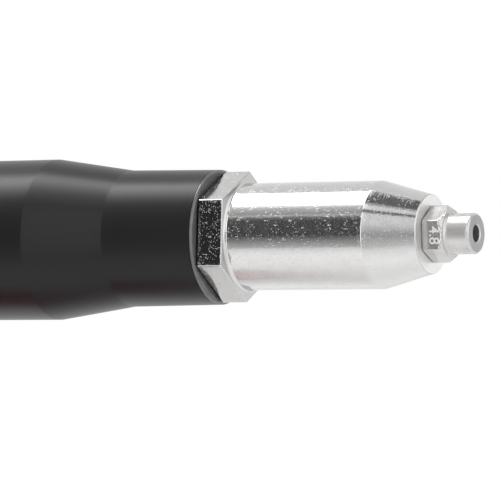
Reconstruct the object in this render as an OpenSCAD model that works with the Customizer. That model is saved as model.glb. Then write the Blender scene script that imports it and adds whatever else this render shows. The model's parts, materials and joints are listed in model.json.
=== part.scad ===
// Battery electric riveter for blind rivets: pulling head, screw drive, gearbox, motor, housing and pack.
// The nose points along +X, +Z is up, and the origin is the middle of the face that the tool stands on.

/* [Nosepiece] */
// Bore that the rivet mandrel passes through
mandrel_bore_d = 3.2; // [2.4:0.1:3.6]
// Outside diameter of the tip that bears on the rivet
tip_d = 7.8; // [7:0.1:9]
// Length of the tip in front of the hexagon
tip_len = 5.1; // [4:0.1:8]
// Hexagon of the nosepiece, across flats
nose_hex_af = 9.5; // [9:0.1:12]
// Length of the nosepiece hexagon
nose_hex_len = 4.2; // [3:0.1:6]
// Diameter of the threaded stub behind the hexagon
nose_stub_d = 8; // [7.4:0.1:8.8]

/* [Nose sleeve] */
// Outside diameter of the sleeve round the jaws
sleeve_d = 20.8; // [20:0.1:21.6]
// Bore that the jaw case slides in
sleeve_bore_d = 16; // [15.8:0.1:16.4]
// Length of the straight part of the sleeve
sleeve_len = 29.5; // [28:0.1:36]
// Length of the taper in front of it
sleeve_cone_len = 10.1; // [8:0.1:14]
// Diameter of the flat front face
sleeve_face_d = 15.1; // [13:0.1:17]
// Hexagon at the rear of the sleeve, across flats
sleeve_hex_af = 22.2; // [21.8:0.1:23]
// Length of that hexagon
sleeve_hex_len = 5.4; // [4:0.1:8]

/* [Barrel] */
// Diameter at the front end of the barrel
barrel_front_d = 26.4; // [25.6:0.1:26.6]
// Diameter where the taper meets the front part
barrel_waist_d = 26.9; // [26.6:0.1:28]
// Length of the slim front part
barrel_front_len = 19.8; // [18:0.1:26]
// Length of the taper
barrel_cone_len = 16.6; // [12:0.1:24]
// Diameter of the rear part, round the screw nut
barrel_rear_d = 31.8; // [31:0.1:33]
// Length of the rear part, with its flange
barrel_rear_len = 59.2; // [57:0.1:66]

/* [Drive] */
// Stroke of the jaws
stroke = 20; // [14:0.5:20]
// Outside diameter of the drive screw
screw_d = 10; // [9:0.1:10.6]
// Outside diameter of the screw nut
nut_d = 25; // [23.5:0.1:25.4]
// Length of the screw nut
nut_len = 26; // [22:0.5:28]
// Module of the gear teeth
gear_module = 0.8; // [0.78:0.01:0.8]
// Width of the planet gears
planet_w = 5; // [4.2:0.1:5.2]
// Diameter of the motor
motor_d = 36; // [34:0.1:36.4]
// Length of the motor can
motor_len = 50; // [46:0.5:54]

/* [Housing] */
// Height of the nose axis over the ground
axis_z = 170; // [166:1:184]
// Diameter of the motor housing
body_d = 50; // [49.6:0.1:54]
// Wall thickness of the plastic shells
shell_wall = 2.5; // [2:0.1:3]
// Length of the grip from front to back
grip_len = 41; // [38:0.5:46]
// Width of the grip
grip_w = 32; // [30:0.5:38]
// Thickness of the rubber grip cover
cover_wall = 1.3; // [0.8:0.1:2]
// Travel of the trigger
trigger_travel = 6; // [3:0.5:6]

/* [Battery] */
// Length of the battery pack
pack_len = 108; // [106:0.5:118]
// Width of the battery pack
pack_w = 74; // [73.4:0.2:84]
// Height of the pack up to its deck
pack_h = 34; // [33:0.5:44]
// Diameter of a cell
cell_d = 18.4; // [17.6:0.1:18.6]
// Length of a cell
cell_len = 65; // [60:0.5:66]
// Travel of the latch button
latch_travel = 4; // [3.6:0.1:5]

/* [Hidden] */

$fn = 64;
fit = 0.05;        // gap between pieces that are fixed together
run = 0.2;         // gap between pieces that slide
tiny = 0.01;       // overlap of cutting tools past a face
hex_ratio = 2 / sqrt(3); // across corners over across flats

// Places along the axis, forward from the joint between the barrel and the gear case
joint_x = 30;
barrel_cone_x = joint_x + barrel_rear_len;
barrel_waist_x = barrel_cone_x + barrel_cone_len;
barrel_end_x = barrel_waist_x + barrel_front_len;
sleeve_hex_end_x = barrel_end_x + sleeve_hex_len;
sleeve_cone_x = sleeve_hex_end_x + sleeve_len;
sleeve_face_x = sleeve_cone_x + sleeve_cone_len;
nose_hex_end_x = sleeve_face_x + nose_hex_len;
tip_x = nose_hex_end_x + tip_len;
flange_w = 5;

// Sleeve and nosepiece
stub_len = 10;     // thread of the sleeve inside the barrel
stub_d = 20;
sleeve_hex_turn = 2.7;
hex_fillet = 1.1;  // hollow round from the hexagon's front face into the round sleeve
hex_rear_bevel = 0.5;
sleeve_shoulder_x = sleeve_face_x - 10.4; // where the jaw bore ends
tail_d = 6.4;      // tail of the nosepiece, which opens the jaws
tail_x = sleeve_face_x - 14.6;
nose_thread_x = sleeve_face_x - 8.6;

// Pulling head, at the front of its stroke
case_d = sleeve_bore_d - 2 * run;
case_front_x = sleeve_shoulder_x - 1.2;
case_hole_d = tail_d + 0.5;
jaw_cone_front_x = case_front_x - 2;
jaw_cone_len = 15;
jaw_cone_back_d = 11.9;
jaw_cone_slope = (jaw_cone_back_d - case_hole_d) / 2 / jaw_cone_len;
jaw_cone_x = jaw_cone_front_x - jaw_cone_len;
jaw_len = 11.4;
jaw_front_x = tail_x - 0.4;
jaw_back_x = jaw_front_x - jaw_len;
jaw_bore_d = 2.2;
jaw_slack = 0.06;
jaw_side_gap = 0.35;
jaw_travel = 1.5;
pusher_d = jaw_cone_back_d - 2 * run;
pusher_face_x = jaw_back_x - 0.15;
pusher_head_len = 9;
pusher_tail_len = 15;
pusher_tail_d = 6.4;
neck_len = 8;      // thread between the draw tube and the jaw case
case_back_x = jaw_cone_x - 18;
neck_end_x = case_back_x + neck_len;
neck_d = 13.6;
tube_d = case_d - 0.4;
spring_bore_d = 10.4;
spring_wire = 1;
jaw_spring_back_x = pusher_face_x - pusher_head_len - 21.8;
stem_bore_d = 7.2;

// Screw drive
chamber_d = nut_d + 0.8;
chamber_len = 51;
chamber_end_x = joint_x + chamber_len;
guide_d = tube_d + 2;
buffer_w = 3;
nut_front_x = chamber_end_x - buffer_w - 0.3;
nut_back_x = nut_front_x - nut_len;
tube_socket_len = 8;
tube_back_x = nut_front_x - tube_socket_len;
screw_tip_x = nut_front_x - 3.7;
tube_web_x = screw_tip_x + stroke + 2;
screw_bore_d = screw_d + 1;
key_w = 4;
key_len = 12;
key_reach = 14.4;  // radius of the key's outer face

// Thrust bearing, radial bearing and gear case, backward from the joint
thrust_plate_w = 3;
race_w = 1.8;
thrust_ball_d = 2.8;
thrust_ring_r = 9.8;
thrust_front_x = joint_x - thrust_plate_w;
thrust_ball_x = thrust_front_x - race_w - thrust_ball_d / 2;
thrust_race_x = thrust_front_x - race_w - thrust_ball_d - race_w;
screw_flange_w = 3.2;
journal_x = thrust_race_x - screw_flange_w;
bearing_w = 6;
bearing_x = journal_x - bearing_w - 0.2;
journal_d = 8;
bearing_d = 22;
web_x = bearing_x - 1.2;
gear_gap = 0.4;
output_disc_w = 2.7;
output_disc_x = web_x - gear_gap - output_disc_w;
output_planet_x = output_disc_x - 0.3 - planet_w;
first_disc_w = 2.2;
first_disc_x = output_planet_x - gear_gap - first_disc_w;
first_planet_x = first_disc_x - 0.3 - planet_w;
case_end_x = first_planet_x - 0.6;
sun_teeth = 12;
planet_teeth = 12;
ring_teeth = sun_teeth + 2 * planet_teeth;
pressure_angle = 25;
addendum = 0.9 * gear_module;
dedendum = 1.15 * gear_module;
ring_wall = 1.28;  // outside the roots of the ring gear's teeth
case_wall = 1.4;
ring_gear_d = ring_teeth * gear_module + 2 * (dedendum + ring_wall);
case_body_d = ring_gear_d + 2 * case_wall;
case_lip_w = 12;
case_screw_d = 3;
case_screw_head_d = 4.6;
case_screw_r = max(case_body_d / 2 + 0.5, (barrel_rear_d + case_screw_head_d) / 2 + 0.3);
barrel_flange_d = 2 * case_screw_r + case_screw_head_d + 0.6;
backlash = 0.06;   // each flank, along the pitch circle
planet_r = (sun_teeth + planet_teeth) * gear_module / 2;
planet_pin_d = 3;

// Motor, backward from the gear case
plate_w = 3;
can_front_x = case_end_x - plate_w;
can_back_x = can_front_x - motor_len;
can_wall = 1.2;
cap_w = 6;
cap_end_x = can_back_x - cap_w;
shaft_d = 3.2;
magnet_in_d = motor_d - 8.8;
core_d = magnet_in_d - 1.6;
core_len = 28;
core_x = can_back_x + 12;
bush_d = 9;

// Housing
mouth_x = 47;
shoulder_x = 24;
mouth_d = barrel_rear_d + 7.2;
body_inner_d = body_d - 2 * shell_wall;
tail_end_x = cap_end_x - 7;
tail_round = 13;
screw_top = body_d / 2 - 3.7; // distance of the body screws from the axis
grip_top_z = axis_z - 12;
foot_z = pack_h + 0.4;
foot_top_z = foot_z + 22;
grip_bottom_x = -20;
grip_top_x = -6;

// Battery rail, shared by the pack and the foot of the housing
rail_h = 10;
rail_neck_h = 4;
rail_w = 46;
rail_neck_w = 37;
rail_gap = 0.4;
rail_back_x = -36;
rail_front_x = 36;
foot_front_x = 46;
channel_back_x = -45;
foot_floor_z = pack_h + rail_h + 2.8;

// Trigger and switch
trigger_z = axis_z - 40;
trigger_h = 27;
trigger_w = 13.6;
trigger_front_x = 25;
switch_front_x = 0;
switch_len = 18;
switch_w = 15;
switch_h = 30;

// Screws that hold the two shells together: place, seat of the head and end of the thread
shell_screws = [[8, axis_z + screw_top, -7, 9], [-44, axis_z + screw_top, -7, 9],
    [12, axis_z - screw_top - 0.4, -6, 8], [-50, axis_z - screw_top, -7, 9],
    [-19, foot_top_z + 20, -9, 9], [-9, axis_z - 21.5, -9, 9],
    [33, foot_floor_z + 3.2, -20, 10], [-42, foot_floor_z + 3.2, -20, 10]];
boss_d = 6.4;
shell_screw_d = 3;
shell_screw_head_d = 5.4;
seam_w = 0.5;
seam_depth = 0.45;

// A solid of revolution about the nose axis, from points [x, radius]
module turned(points, facets = 64) {
    translate([0, 0, axis_z])
        rotate([0, 90, 0])
            rotate_extrude($fn = facets)
                polygon([for (p = points) [p[1], p[0]]]);
}

// A cylinder on the nose axis between two places
module rod(x_from, x_to, d, facets = 64) {
    translate([x_from, 0, axis_z])
        rotate([0, 90, 0])
            cylinder(h = x_to - x_from, d = d, $fn = facets);
}

// A ring on the nose axis
module ring(x_from, x_to, d, bore) {
    turned([[x_from, bore / 2], [x_from, d / 2], [x_to, d / 2], [x_to, bore / 2]]);
}

// Places its children at an angle and radius round the nose axis, angle 0 pointing up
module around(angle, radius) {
    translate([0, 0, axis_z])
        rotate([angle, 0, 0])
            translate([0, 0, radius])
                children();
}

// A hexagonal prism on the nose axis with a flat towards -Y, turned by an angle
module hexagon(x_from, x_to, across_flats, turn) {
    translate([x_from, 0, axis_z])
        rotate([turn, 0, 0])
            rotate([0, 90, 0])
                cylinder(h = x_to - x_from, d = across_flats * hex_ratio, $fn = 6);
}

// Cutters that bevel each flat of a hexagon at 45 degrees, towards +X or -X
module bevels(x, across_flats, turn, side) {
    half = across_flats / 2;
    for (k = [0:5])
        translate([x, 0, axis_z])
            rotate([turn + 60 * k, 0, 0])
                linear_extrude(across_flats, center = true)
                    polygon([[-side, -half - 1], [4 * side, -half + 4], [4 * side, -half - 3],
                        [-side, -half - 3]]);
}

// Points of a circular arc
function arc(cx, cy, r, from, to, steps) =
    [for (i = [0:steps]) let (a = from + (to - from) * i / steps) [cx + r * cos(a), cy + r * sin(a)]];

// Points of a rounded rectangle
function rounded_rectangle(l, w, r) =
    [for (c = [[1, 1, 0], [-1, 1, 90], [-1, -1, 180], [1, -1, 270]])
        each arc(c[0] * (l / 2 - r), c[1] * (w / 2 - r), r, c[2], c[2] + 90, 5)];

// Points of a superellipse from [z, middle x, half length, half width, squareness]
function oval(s, grow, sides = 28) = [for (i = [0:sides - 1])
    let (c = cos(i * 360 / sides), q = sin(i * 360 / sides), p = 2 / s[4])
    [s[1] + sign(c) * pow(abs(c), p) * (s[2] + grow), sign(q) * pow(abs(q), p) * (s[3] + grow)]];

// A lofted solid through outlines [z, points], all with the same number of points
module loft(outlines) {
    n = len(outlines);
    sides = len(outlines[0][1]);
    points = [for (s = outlines) for (q = s[1]) [q[0], q[1], s[0]]];
    bottom = [[for (i = [0:sides - 1]) i]];
    top = [[for (i = [sides - 1:-1:0]) (n - 1) * sides + i]];
    walls = [for (k = [0:n - 2]) for (i = [0:sides - 1])
        let (a = k * sides + i, b = k * sides + (i + 1) % sides)
        each [[a, a + sides, b + sides], [a, b + sides, b]]];
    polyhedron(points, concat(bottom, walls, top), convexity = 6);
}

// A compression spring along +Z with closed ends
module coil(length, middle_d, wire, turns, sides = 6, per_turn = 12) {
    steps = turns * per_turn;
    rise = length - wire;
    function lift(t) = rise * (t < 0.12 ? t * t / 0.24 : t > 0.88 ? 1 - (1 - t) * (1 - t) / 0.24
        : 0.06 + (t - 0.12) * 0.88 / 0.76);
    points = [for (k = [0:steps]) for (j = [0:sides - 1])
        let (a = k * 360 / per_turn, b = j * 360 / sides, r = middle_d / 2 + wire / 2 * cos(b))
        [r * cos(a), r * sin(a), wire / 2 + lift(k / steps) + wire / 2 * sin(b)]];
    walls = [for (k = [0:steps - 1]) for (j = [0:sides - 1])
        let (a = k * sides + j, b = k * sides + (j + 1) % sides)
        each [[a, b, b + sides], [a, b + sides, a + sides]]];
    caps = [[for (j = [sides - 1:-1:0]) j], [for (j = [0:sides - 1]) steps * sides + j]];
    polyhedron(points, concat(walls, caps), convexity = 10);
}

// Involute gear outline. A positive play makes the teeth thinner, a negative one wider
function involute(base_r, r) = let (a = acos(min(1, base_r / r))) tan(a) * 180 / PI - a;
function half_tooth(teeth, r, play) =
    let (pitch_r = teeth * gear_module / 2, base_r = pitch_r * cos(pressure_angle))
    90 / teeth + involute(base_r, pitch_r) - involute(base_r, max(r, base_r))
        - play / pitch_r * 180 / PI;
function gear_outline(teeth, root_r, tip_r, play, flank = 3) =
    [for (i = [0:teeth - 1]) let (c = i * 360 / teeth)
        each concat(
            [for (k = [0:flank]) let (r = root_r + (tip_r - root_r) * k / flank,
                a = c - half_tooth(teeth, r, play)) [r * cos(a), r * sin(a)]],
            [for (k = [flank:-1:0]) let (r = root_r + (tip_r - root_r) * k / flank,
                a = c + half_tooth(teeth, r, play)) [r * cos(a), r * sin(a)]])];

// An external gear on the nose axis, with a tooth pointing up, turned by an angle
module gear(x_from, x_to, teeth, bore, turn = 0) {
    pitch_r = teeth * gear_module / 2;
    translate([x_from, 0, axis_z])
        rotate([turn, 0, 0])
            rotate([0, 90, 0])
                rotate([0, 0, 180])
                    difference() {
                        linear_extrude(x_to - x_from)
                            polygon(gear_outline(teeth, pitch_r - dedendum, pitch_r + addendum, backlash));
                        translate([0, 0, -tiny])
                            cylinder(h = x_to - x_from + 2 * tiny, d = bore, $fn = 32);
                    }
}

// Nosepiece: hexagon, tip and the tail that holds the jaws open
module nosepiece() {
    chamfer = (nose_hex_af * hex_ratio - nose_hex_af) / 2;
    color("silver")
        difference() {
            union() {
                intersection() {
                    hexagon(sleeve_face_x, nose_hex_end_x, nose_hex_af, -4);
                    turned([[sleeve_face_x - 1, 0], [sleeve_face_x - 1, nose_hex_af],
                        [nose_hex_end_x - chamfer, nose_hex_af * hex_ratio / 2],
                        [nose_hex_end_x, nose_hex_af / 2 - 0.1], [nose_hex_end_x, 0]]);
                }
                turned(concat([[tail_x, 0], [tail_x, tail_d / 2 - 0.5], [tail_x + 0.8, tail_d / 2],
                        [nose_thread_x, tail_d / 2], [nose_thread_x, nose_stub_d / 2],
                        [sleeve_face_x + 1, nose_stub_d / 2], [nose_hex_end_x - 1, tip_d / 2 - 0.2],
                        [nose_hex_end_x - 1, tip_d / 2 + 0.35]],
                    [for (p = arc(nose_hex_end_x + 0.35, tip_d / 2 + 0.35, 0.35, 180, 270, 4)) p],
                    [for (p = arc(tip_x - 0.45, tip_d / 2 - 0.45, 0.45, 90, 0, 4)) p], [[tip_x, 0]]));
            }
            rod(tail_x - 1, tip_x + 1, mandrel_bore_d);
            turned([[tip_x - 0.35, 0], [tip_x - 0.35, mandrel_bore_d / 2 - tiny],
                [tip_x + 0.05, mandrel_bore_d / 2 + 0.4], [tip_x + 0.05, 0]]);
        }
}

// Sleeve round the jaws, with the wrench hexagon that screws it into the barrel
module nose_sleeve() {
    r = sleeve_d / 2;
    color("gainsboro")
        difference() {
            union() {
                difference() {
                    intersection() {
                        hexagon(barrel_end_x, sleeve_hex_end_x + hex_fillet + 1, sleeve_hex_af,
                            sleeve_hex_turn);
                        turned(concat([[barrel_end_x - 1, 0], [barrel_end_x - 1, sleeve_hex_af],
                                [sleeve_hex_end_x, sleeve_hex_af]],
                            [for (p = arc(sleeve_hex_end_x + hex_fillet, r + hex_fillet - 0.03,
                                hex_fillet, 180, 270, 5)) p],
                            [[sleeve_hex_end_x + hex_fillet, 0]]));
                    }
                    bevels(barrel_end_x + hex_rear_bevel, sleeve_hex_af, sleeve_hex_turn, -1);
                }
                turned(concat([[barrel_end_x - stub_len, 0], [barrel_end_x - stub_len, stub_d / 2 - 0.6],
                        [barrel_end_x - stub_len + 0.6, stub_d / 2], [barrel_end_x + 1, stub_d / 2],
                        [sleeve_hex_end_x - 1, r]],
                    [[sleeve_hex_end_x + 0.4, r], [sleeve_cone_x - 0.1, r], [sleeve_cone_x + 0.1, r - 0.05]],
                    [for (p = arc(sleeve_face_x - 0.6, sleeve_face_d / 2 - 0.6, 0.6, 74, 0, 4)) p],
                    [[sleeve_face_x, 0]]));
            }
            turned([[barrel_end_x - stub_len - 1, 0], [barrel_end_x - stub_len - 1, sleeve_bore_d / 2],
                [sleeve_shoulder_x - 1.2, sleeve_bore_d / 2], [sleeve_shoulder_x, sleeve_bore_d / 2 - 1.2],
                [sleeve_shoulder_x, 0]]);
            rod(sleeve_shoulder_x - 1, sleeve_face_x + 1, nose_stub_d + 2 * fit);
        }
}

// Barrel, which carries the sleeve and guides the screw nut
module barrel() {
    front_r = barrel_front_d / 2;
    rear_r = barrel_rear_d / 2;
    lip = 0.35;
    color([0.13, 0.13, 0.13])
        difference() {
            turned(concat([[joint_x, 0], [joint_x, barrel_flange_d / 2],
                    [joint_x + flange_w, barrel_flange_d / 2], [joint_x + flange_w, rear_r],
                    [barrel_cone_x, rear_r], [barrel_waist_x, barrel_waist_d / 2]],
                [[barrel_end_x - lip, front_r], [barrel_end_x, front_r - lip], [barrel_end_x, 0]]),
                facets = 96);
            turned([[joint_x - 1, 0], [joint_x - 1, chamber_d / 2], [chamber_end_x, chamber_d / 2],
                [chamber_end_x + 2, guide_d / 2], [barrel_end_x - stub_len - 1, guide_d / 2],
                [barrel_end_x - stub_len - 1, stub_d / 2 + fit], [barrel_end_x + 1, stub_d / 2 + fit],
                [barrel_end_x + 1, 0]]);
            translate([joint_x - 1, -key_w / 2 - 0.1, axis_z - key_reach - 0.2])
                cube([chamber_len - buffer_w - 1, key_w + 0.2, key_reach - chamber_d / 2 + 1.5]);
            for (a = [45:90:315])
                around(a, case_screw_r)
                    rotate([0, 90, 0])
                        translate([0, 0, joint_x - 1])
                            cylinder(h = flange_w + 2, d = case_screw_d + 0.2, $fn = 24);
        }
}

// Jaw case, whose inner taper closes the jaws
module jaw_case() {
    r = case_d / 2;
    color("dimgray")
        turned([[case_back_x, neck_d / 2 + fit], [case_back_x, r - 0.3], [case_back_x + 0.3, r],
            [case_front_x - 1.2, r], [case_front_x, r - 1.2], [case_front_x, case_hole_d / 2],
            [jaw_cone_front_x, case_hole_d / 2], [jaw_cone_x, jaw_cone_back_d / 2],
            [neck_end_x + 0.2, jaw_cone_back_d / 2], [neck_end_x + 0.2, neck_d / 2 + fit]]);
}

// One of the three gripping jaws
module jaw(angle) {
    teeth = 9;
    pitch = (jaw_len - 1.4) / teeth;
    function cone_r(x) = case_hole_d / 2 + (jaw_cone_front_x - x) * jaw_cone_slope - jaw_slack;
    color("slategray")
        translate([0, 0, axis_z])
            rotate([angle, 0, 0])
                translate([0, 0, -axis_z])
                    intersection() {
                        turned(concat([[jaw_back_x, cone_r(jaw_back_x)], [jaw_front_x, cone_r(jaw_front_x)],
                                [jaw_front_x, jaw_bore_d / 2 + 0.6], [jaw_front_x - 0.7, jaw_bore_d / 2]],
                            [for (i = [0:teeth - 1]) each [
                                [jaw_front_x - 0.7 - (i + 0.9) * pitch, jaw_bore_d / 2 + 0.35],
                                [jaw_front_x - 0.7 - (i + 1) * pitch, jaw_bore_d / 2]]],
                            [[jaw_back_x, jaw_bore_d / 2 + 0.5]]), facets = 48);
                        jaw_sector();
                    }
}

// Sector that one jaw fills, upwards from the axis
module jaw_sector() {
    reach = 12;
    spread = 60;
    translate([jaw_back_x - 1, 0, axis_z + jaw_side_gap / sin(spread)])
        rotate([0, 90, 0])
            linear_extrude(jaw_len + 2)
                polygon([[0, 0], [-reach * cos(spread), -reach * sin(spread)], [-reach, -reach],
                    [-reach, reach], [-reach * cos(spread), reach * sin(spread)]]);
}

// Pusher that the spring drives against the jaws
module jaw_pusher() {
    color("darkgray")
        turned([[pusher_face_x - pusher_head_len - pusher_tail_len, 1.9],
            [pusher_face_x - pusher_head_len - pusher_tail_len, pusher_tail_d / 2],
            [pusher_face_x - pusher_head_len, pusher_tail_d / 2],
            [pusher_face_x - pusher_head_len, spring_bore_d / 2 - 0.2],
            [pusher_face_x - pusher_head_len + 2, pusher_d / 2], [pusher_face_x - 1, pusher_d / 2],
            [pusher_face_x, pusher_d / 2 - 0.8], [pusher_face_x, 1.9]]);
}

module jaw_spring() {
    color("silver")
        translate([jaw_spring_back_x + 0.1, 0, axis_z])
            rotate([0, 90, 0])
                coil(21.5, 8.8, spring_wire, 7);
}

// Draw tube between the screw nut and the jaw case
module draw_tube() {
    r = tube_d / 2;
    color("lightslategray")
        difference() {
            turned([[tube_back_x, 0], [tube_back_x, r - 0.4], [tube_back_x + 0.4, r], [case_back_x - 0.1, r],
                [case_back_x - 0.1, neck_d / 2], [neck_end_x, neck_d / 2], [neck_end_x, 0]]);
            rod(tube_back_x - 1, tube_web_x, screw_bore_d);
            rod(tube_web_x + 2.5, neck_end_x + 1, stem_bore_d);
            rod(jaw_spring_back_x, neck_end_x + 1, spring_bore_d);
        }
}

// Nut that the drive screw pulls back
module screw_nut() {
    r = nut_d / 2;
    color("goldenrod")
        difference() {
            turned([[nut_back_x, 0], [nut_back_x, r - 0.6], [nut_back_x + 0.6, r], [nut_front_x - 0.6, r],
                [nut_front_x, r - 0.6], [nut_front_x, 0]]);
            rod(nut_back_x - 1, nut_front_x + 1, screw_d + 0.1);
            rod(tube_back_x - 0.1, nut_front_x + 1, tube_d + 2 * fit);
            translate([nut_front_x - 20, -key_w / 2 - fit, axis_z - r - 1])
                cube([key_len + 2 * fit, key_w + 2 * fit, 3.5]);
        }
}

// Key that stops the nut from turning in the barrel
module nut_key() {
    color("silver")
        translate([nut_front_x - 20 + fit, -key_w / 2, axis_z - key_reach])
            cube([key_len, key_w, key_reach - nut_d / 2 + 2.4]);
}

// Elastic ring that the nut meets at the front of its stroke
module return_buffer() {
    color("orangered")
        ring(chamber_end_x - buffer_w, chamber_end_x - fit, chamber_d - 2 * fit, tube_d + 1.2);
}

// Drive screw, from its tip in the draw tube to the flats that the gearbox turns
module drive_screw() {
    flat = 5.6;
    color("silver")
        union() {
            turned([[journal_x - 0.05, 0], [journal_x - 0.05, 11], [thrust_race_x, 11],
                [thrust_race_x, screw_d / 2], [screw_tip_x - 1, screw_d / 2],
                [screw_tip_x, screw_d / 2 - 1], [screw_tip_x, 0]]);
            rod(web_x, journal_x, journal_d);
            intersection() {
                rod(output_disc_x, web_x + 1, journal_d - 1);
                translate([output_disc_x - 1, -flat / 2, axis_z - journal_d])
                    cube([web_x - output_disc_x + 3, flat, 2 * journal_d]);
            }
        }
}

// Steel plate that takes the pull of the screw
module thrust_plate() {
    color("gray")
        ring(thrust_front_x, joint_x, 28, screw_d + 2.4);
}

// Fixed race, cage and balls of the thrust bearing
module thrust_bearing() {
    balls = 12;
    color("silver") {
        ring(thrust_front_x - race_w, thrust_front_x, 25.2, 14);
        for (i = [0:balls - 1])
            around(i * 360 / balls, thrust_ring_r)
                translate([thrust_ball_x, 0, 0])
                    sphere(d = thrust_ball_d - 0.04, $fn = 24);
    }
    color("peru")
        difference() {
            ring(thrust_ball_x - 0.6, thrust_ball_x + 0.6, 24.4, 14.6);
            for (i = [0:balls - 1])
                around(i * 360 / balls, thrust_ring_r)
                    rotate([0, 90, 0])
                        translate([0, 0, thrust_ball_x - 1])
                            cylinder(h = 2, d = thrust_ball_d + 0.1, $fn = 24);
        }
}

// Race that turns with the screw
module thrust_race() {
    color("silver")
        ring(thrust_race_x, thrust_race_x + race_w, 25.2, screw_d + 0.1);
}

// Outer ring, balls and shield of the radial bearing
module screw_bearing() {
    balls = 9;
    color("silver") {
        ring(bearing_x, bearing_x + bearing_w, bearing_d, 16.4);
        for (i = [0:balls - 1])
            around(i * 360 / balls, 7.05)
                translate([bearing_x + bearing_w / 2, 0, 0])
                    sphere(d = 2.2, $fn = 24);
    }
    color("black")
        ring(bearing_x + 0.2, bearing_x + 0.8, 16.3, 12.2);
}

module screw_bearing_race() {
    color("silver")
        ring(bearing_x, bearing_x + bearing_w, 11.8, journal_d + 0.04);
}

// Cast case that holds the bearings and the ring gear
module gear_case() {
    color("lightgray")
        difference() {
            turned([[case_end_x, 0], [case_end_x, case_body_d / 2], [joint_x - case_lip_w, case_body_d / 2],
                [joint_x - case_lip_w, barrel_flange_d / 2], [joint_x - fit, barrel_flange_d / 2],
                [joint_x - fit, 0]]);
            turned([[case_end_x - 1, 0], [case_end_x - 1, ring_gear_d / 2 + fit],
                [web_x, ring_gear_d / 2 + fit], [web_x, 8.2], [bearing_x, 8.2],
                [bearing_x, bearing_d / 2 + fit], [journal_x - 0.3, bearing_d / 2 + fit],
                [journal_x - 0.3, 13], [thrust_front_x - fit, 13], [thrust_front_x - fit, 14 + fit],
                [joint_x + 1, 14 + fit], [joint_x + 1, 0]]);
            for (a = [45:90:315])
                around(a, case_screw_r)
                    rotate([0, 90, 0])
                        translate([0, 0, joint_x - 11])
                            cylinder(h = 12, d = case_screw_d + 2 * fit, $fn = 24);
        }
}

// Screws through the barrel flange into the gear case
module case_screws() {
    color("black")
        for (a = [45:90:315])
            around(a, case_screw_r)
                rotate([0, 90, 0])
                    translate([0, 0, joint_x - 10]) {
                        cylinder(h = 10 + flange_w, d = case_screw_d, $fn = 24);
                        translate([0, 0, 10 + flange_w])
                            difference() {
                                intersection() {
                                    cylinder(h = 2.4, d = case_screw_head_d, $fn = 24);
                                    translate([-(barrel_flange_d / 2 - case_screw_r), -5, 0])
                                        cube([10, 10, 3]);
                                }
                                translate([0, 0, 1.2])
                                    cylinder(h = 2, d = 2.6, $fn = 6);
                            }
                    }
}

// Ring gear shared by both planetary stages
module ring_gear() {
    pitch_r = ring_teeth * gear_module / 2;
    length = web_x - case_end_x - 0.2;
    color("darkgray")
        translate([case_end_x + 0.1, 0, axis_z])
            rotate([0, 90, 0])
                rotate([0, 0, 180 / ring_teeth])
                    difference() {
                        cylinder(h = length, d = ring_gear_d, $fn = 96);
                        translate([0, 0, -1])
                            linear_extrude(length + 2)
                                polygon(gear_outline(ring_teeth, pitch_r - addendum, pitch_r + dedendum,
                                    -backlash));
                    }
}

// Carrier disc with its three planet pins
module carrier(disc_x, disc_w) {
    rod(disc_x, disc_x + disc_w, 2 * planet_r + 6);
    for (i = [0:2])
        around(i * 120, planet_r)
            rotate([0, 90, 0])
                translate([0, 0, disc_x - 0.3 - planet_w])
                    cylinder(h = planet_w + 1, d = planet_pin_d, $fn = 32);
}

module output_carrier() {
    flat = 5.6;
    color("silver")
        difference() {
            carrier(output_disc_x, output_disc_w);
            intersection() {
                rod(output_disc_x - 1, output_disc_x + output_disc_w + 1, journal_d - 1 + 2 * fit);
                translate([output_disc_x - 2, -flat / 2 - fit, axis_z - journal_d])
                    cube([output_disc_w + 4, flat + 2 * fit, 2 * journal_d]);
            }
        }
}

// First carrier, with the sun gear of the output stage
module first_carrier() {
    color("silver") {
        carrier(first_disc_x, first_disc_w);
        gear(first_disc_x + first_disc_w - tiny, output_planet_x + planet_w - 0.1, sun_teeth, 1);
    }
}

// One planet of a stage, with a tooth gap towards the sun
module planet(x_from, index) {
    color("gray")
        translate([0, 0, axis_z])
            rotate([index * 120, 0, 0])
                translate([0, 0, planet_r - axis_z])
                    gear(x_from, x_from + planet_w, planet_teeth, planet_pin_d + 0.1, 180 / planet_teeth);
}

module motor_pinion() {
    color("gray")
        gear(first_planet_x + 0.1, first_disc_x - 0.3, sun_teeth, shaft_d + 0.04);
}

// Plate that closes the gear case and carries the motor
module motor_plate() {
    color("lightgray")
        difference() {
            ring(can_front_x, case_end_x - fit, case_body_d, 13.1);
            for (side = [-1, 1])
                around(90 * side, 9.5)
                    rotate([0, 90, 0])
                        translate([0, 0, can_front_x - 1])
                            cylinder(h = plate_w + 2, d = 3.2, $fn = 24);
        }
}

module motor_can() {
    r = motor_d / 2;
    color("silver")
        difference() {
            union() {
                turned([[can_back_x, 0], [can_back_x, r], [can_front_x - 1.4, r], [can_front_x, r - 1.4],
                    [can_front_x, 0]]);
                rod(can_front_x - 1, can_front_x + 2.6, 13);
            }
            turned([[can_back_x - 1, 0], [can_back_x - 1, r - can_wall], [can_front_x - 1.6, r - can_wall],
                [can_front_x - 1.6, 0]]);
            rod(can_front_x - 3, can_front_x + 3, bush_d + 2 * fit);
            for (a = [30:60:330])
                around(a, 11.5)
                    rotate([0, 90, 0])
                        translate([0, 0, can_front_x - 3])
                            cylinder(h = 4, d = 3.4, $fn = 24);
        }
}

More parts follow.
